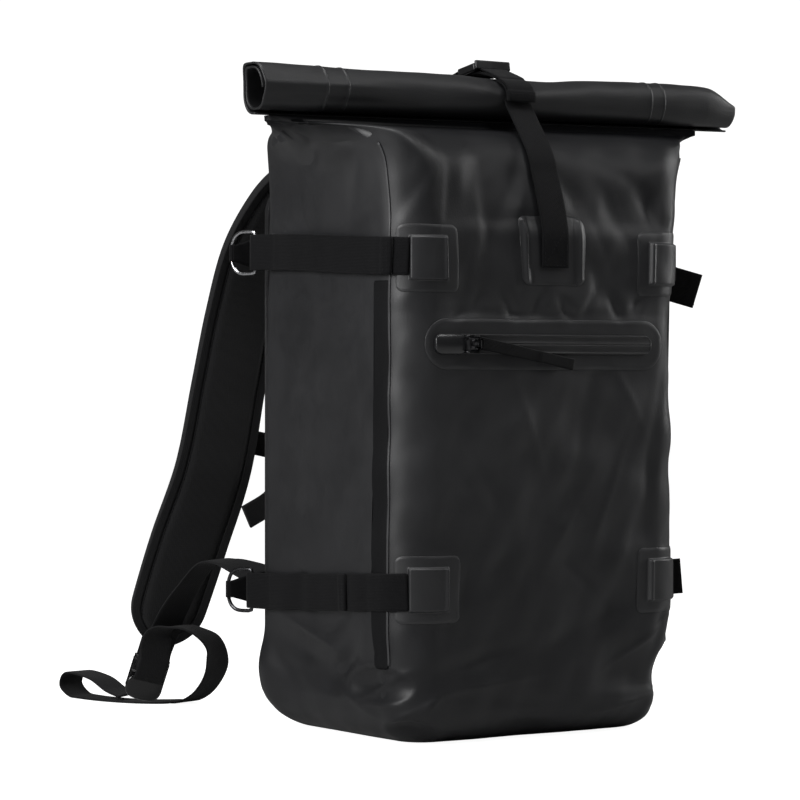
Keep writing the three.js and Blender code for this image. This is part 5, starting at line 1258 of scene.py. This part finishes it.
def adjuster(side, name):
    """Ladder lock of side arms, bars and a rounded tongue, the webbing that hangs it from the pad, and the
    webbing threaded through it, with its free tail and pull loop."""
    path, across, face, _, run, _ = pad_frame(side, 190)
    x, y, z = across[-1], -run[-1], face[-1]
    gap = LOCK_HANG + LOCK_TALL / 2
    middle = path[-1] + run[-1] * gap

    def spot(b, c, a=0.0):
        """Point by the lock: down its length, out of its face and across it."""
        return middle + x * a + y * b + z * c

    axes = (x, y, z)
    arm = 12.1
    parts = [
        (spot(0, 0, -arm), (3.6, 22, LOCK_THICK)),
        (spot(0, 0, arm), (3.6, 22, LOCK_THICK)),
        (spot(10.6, 0), (26.6, 6.2, LOCK_THICK)),
        (spot(-1.6, 0), (26, 4, LOCK_THICK)),
    ]
    pebble(f"ladder_lock_{name}_tongue", spot(-11, 0.6), (15.6, 11, 3.2), axes, gloss_plastic)
    blocks(f"ladder_lock_{name}_moulded", parts, axes, plastic, [f"ladder_lock_{name}"],
           radius=1.7, segments=4)
    lift = LOCK_THICK / 2 + GAP_WEB + WEB / 2
    around = [spot(8.4 - lift * math.sin(a), -lift * math.cos(a)) for a in np.linspace(0, math.pi, 9)]
    fold = np.array([spot(gap - 1, -lift), *around, spot(gap - 1, lift)])
    strip(f"pad_webbing_{name}_folded", fold, x, 80, 27, WEB, adjuster_web,
          [f"pad_webbing_{name}"])
    root = np.array([side * 104, PAD_FOOT + 12 + 1.1, 108])
    end = spot(gap + 12.5, 12.4)
    share = ADJUSTER[:, 2:3] * UP + ADJUSTER[:, :2] @ np.eye(2, 3)
    begin = np.array([root[0], root[1], end[2]])
    reach = np.array([end[0] - root[0], end[1] - root[1], root[2] - end[2]])
    threaded = [spot(along * LOCK_TALL, over * LOCK_THICK / 2) for along, over in WOVEN_PATH]
    tail = np.array([middle[0], middle[1], 1.1]) + TAIL[:, :3] * np.array([-side * 47, 117, 68])
    mirror = np.array([1, -side, -side])
    first = np.hstack([np.full((len(ADJUSTER), 1), 0.95), ADJUSTER[:, 3:]]) * mirror
    turns = np.vstack([first, np.repeat(x[None], len(WOVEN_PATH), 0), TAIL[:, 3:] * mirror])
    strip(f"adjuster_{name}_threaded", np.vstack([begin + share * reach, threaded, tail]), turns, 620, 25,
          WEB, adjuster_web, [f"adjuster_{name}"])


for side, name in SIDES:
    adjuster(side, name)


def chest():
    """Chest strap: the clip, a webbing from each shoulder strap's inner face to it, and its loose tail."""
    clip = np.array([0, PAD_FOOT + PAD_REACH * 0.7, 217.0])
    parts = [
        (clip, (20, 8, 23)),
        (clip + SIDEWAYS * 14.5, (9, 9, 26)),
        (clip - SIDEWAYS * 14.5, (9, 9, 26)),
        (clip + FORWARDS * 3.4, (14, 2.6, 14)),
    ]
    blocks("chest_clip_moulded", parts, (SIDEWAYS, FORWARDS, UP), plastic, ["sternum_buckle"],
           radius=1.8, segments=4)
    for side, name in SIDES:
        path, across, face, _, run, _ = pad_frame(side, 190)
        k = int(np.argmin(np.abs(path[:, 2] - 226)))
        lift = PAD_THICK / 2 + 1.7
        on = [path[k] - across[k] * side * share * PAD_WIDE - face[k] * lift for share in (-0.2, 0.2, 0.55)]
        near = np.array([side * 20.2, clip[1], clip[2]])
        between = (near + path[k] - across[k] * side * 0.6 * PAD_WIDE - face[k] * lift) / 2 - UP * 2.7
        turns = np.array([-run[k]] * 3 + [UP] * 2)
        strip(f"chest_strap_{name}_laid", np.array([*on, between, near]), turns, 60, 20, WEB, adjuster_web,
              [f"sternum_strap_{name}"])
    start = clip + np.array([-16, -6.6, -5.2])
    tail = start + np.array([(0, 0, 0), (-28.8, -9.6, -21.1), (-53.8, -15.4, -40.3), (-76.8, -17.3, -51.8)])
    lean = np.array([(0, 0, 1.0), (-0.3, 0, 1), (-0.35, 0, 1), (-0.3, 0, 1)])
    strip("chest_tail_hung", tail, lean, 60, 20, [1.6, 1.6, 1.6, 3.2], adjuster_web,
          ["sternum_tail"])


chest()
stitching("sewing_thread", stitch_lines, thread)

# Floor, light and backdrop
floor_mesh = bpy.data.meshes.new("floor")
floor_mesh.from_pydata([(-9, -9, 0), (9, -9, 0), (9, 9, 0), (-9, 9, 0)], [], [(0, 1, 2, 3)])
floor = bpy.data.objects.new("floor", floor_mesh)
floor_material, floor_tree, floor_shader = shader("floor_paper", (0.45, 0.45, 0.45), 0.9, 0.1)
seen = node(floor_tree, "ShaderNodeLightPath").outputs["Is Camera Ray"]
floor_shader.inputs["Emission Color"].default_value = (1, 1, 1, 1)
floor_tree.links.new(maths(floor_tree, "MULTIPLY", seen, 0.95), floor_shader.inputs["Emission Strength"])
floor_mesh.materials.append(floor_material)
bpy.context.scene.collection.objects.link(floor)

world = bpy.data.worlds.new("studio")
world.use_nodes = True
bpy.context.scene.world = world
sky = world.node_tree.nodes["Background"]
sky.inputs["Color"].default_value = (1, 1, 1, 1)
direct = node(world.node_tree, "ShaderNodeLightPath").outputs["Is Camera Ray"]
world.node_tree.links.new(ramp(world.node_tree, direct, 0.0, 1.0, 0.12, 1.1), sky.inputs["Strength"])
bpy.context.scene.view_settings.view_transform = "Standard"


def lamp(name, place, aim, size, power):
    """Soft box at a place, turned to a point."""
    data = bpy.data.lights.new(name, "AREA")
    data.shape = "RECTANGLE"
    data.size, data.size_y = size
    data.energy = power
    made = bpy.data.objects.new(name, data)
    made.location = place
    way = np.array(aim) - np.array(place)
    made.rotation_euler = (math.atan2(math.hypot(way[0], way[1]), -way[2]), 0,
                           math.atan2(way[0], -way[1]) + math.pi)
    bpy.context.scene.collection.objects.link(made)


lamp("left_box", (-1.9, -0.2, 1.1), (-0.1, 0, 0.25), (0.8, 1.2), 46)
lamp("front_box", (0.8, -1.6, 2.0), (0.1, 0, 0.42), (0.6, 0.5), 10)
lamp("top_box", (-0.3, -0.3, 1.9), (0, 0, 0.35), (1.0, 0.5), 18)
lamp("right_rim", (1.9, -0.3, 1.0), (0, 0, 0.3), (0.4, 1.2), 14)
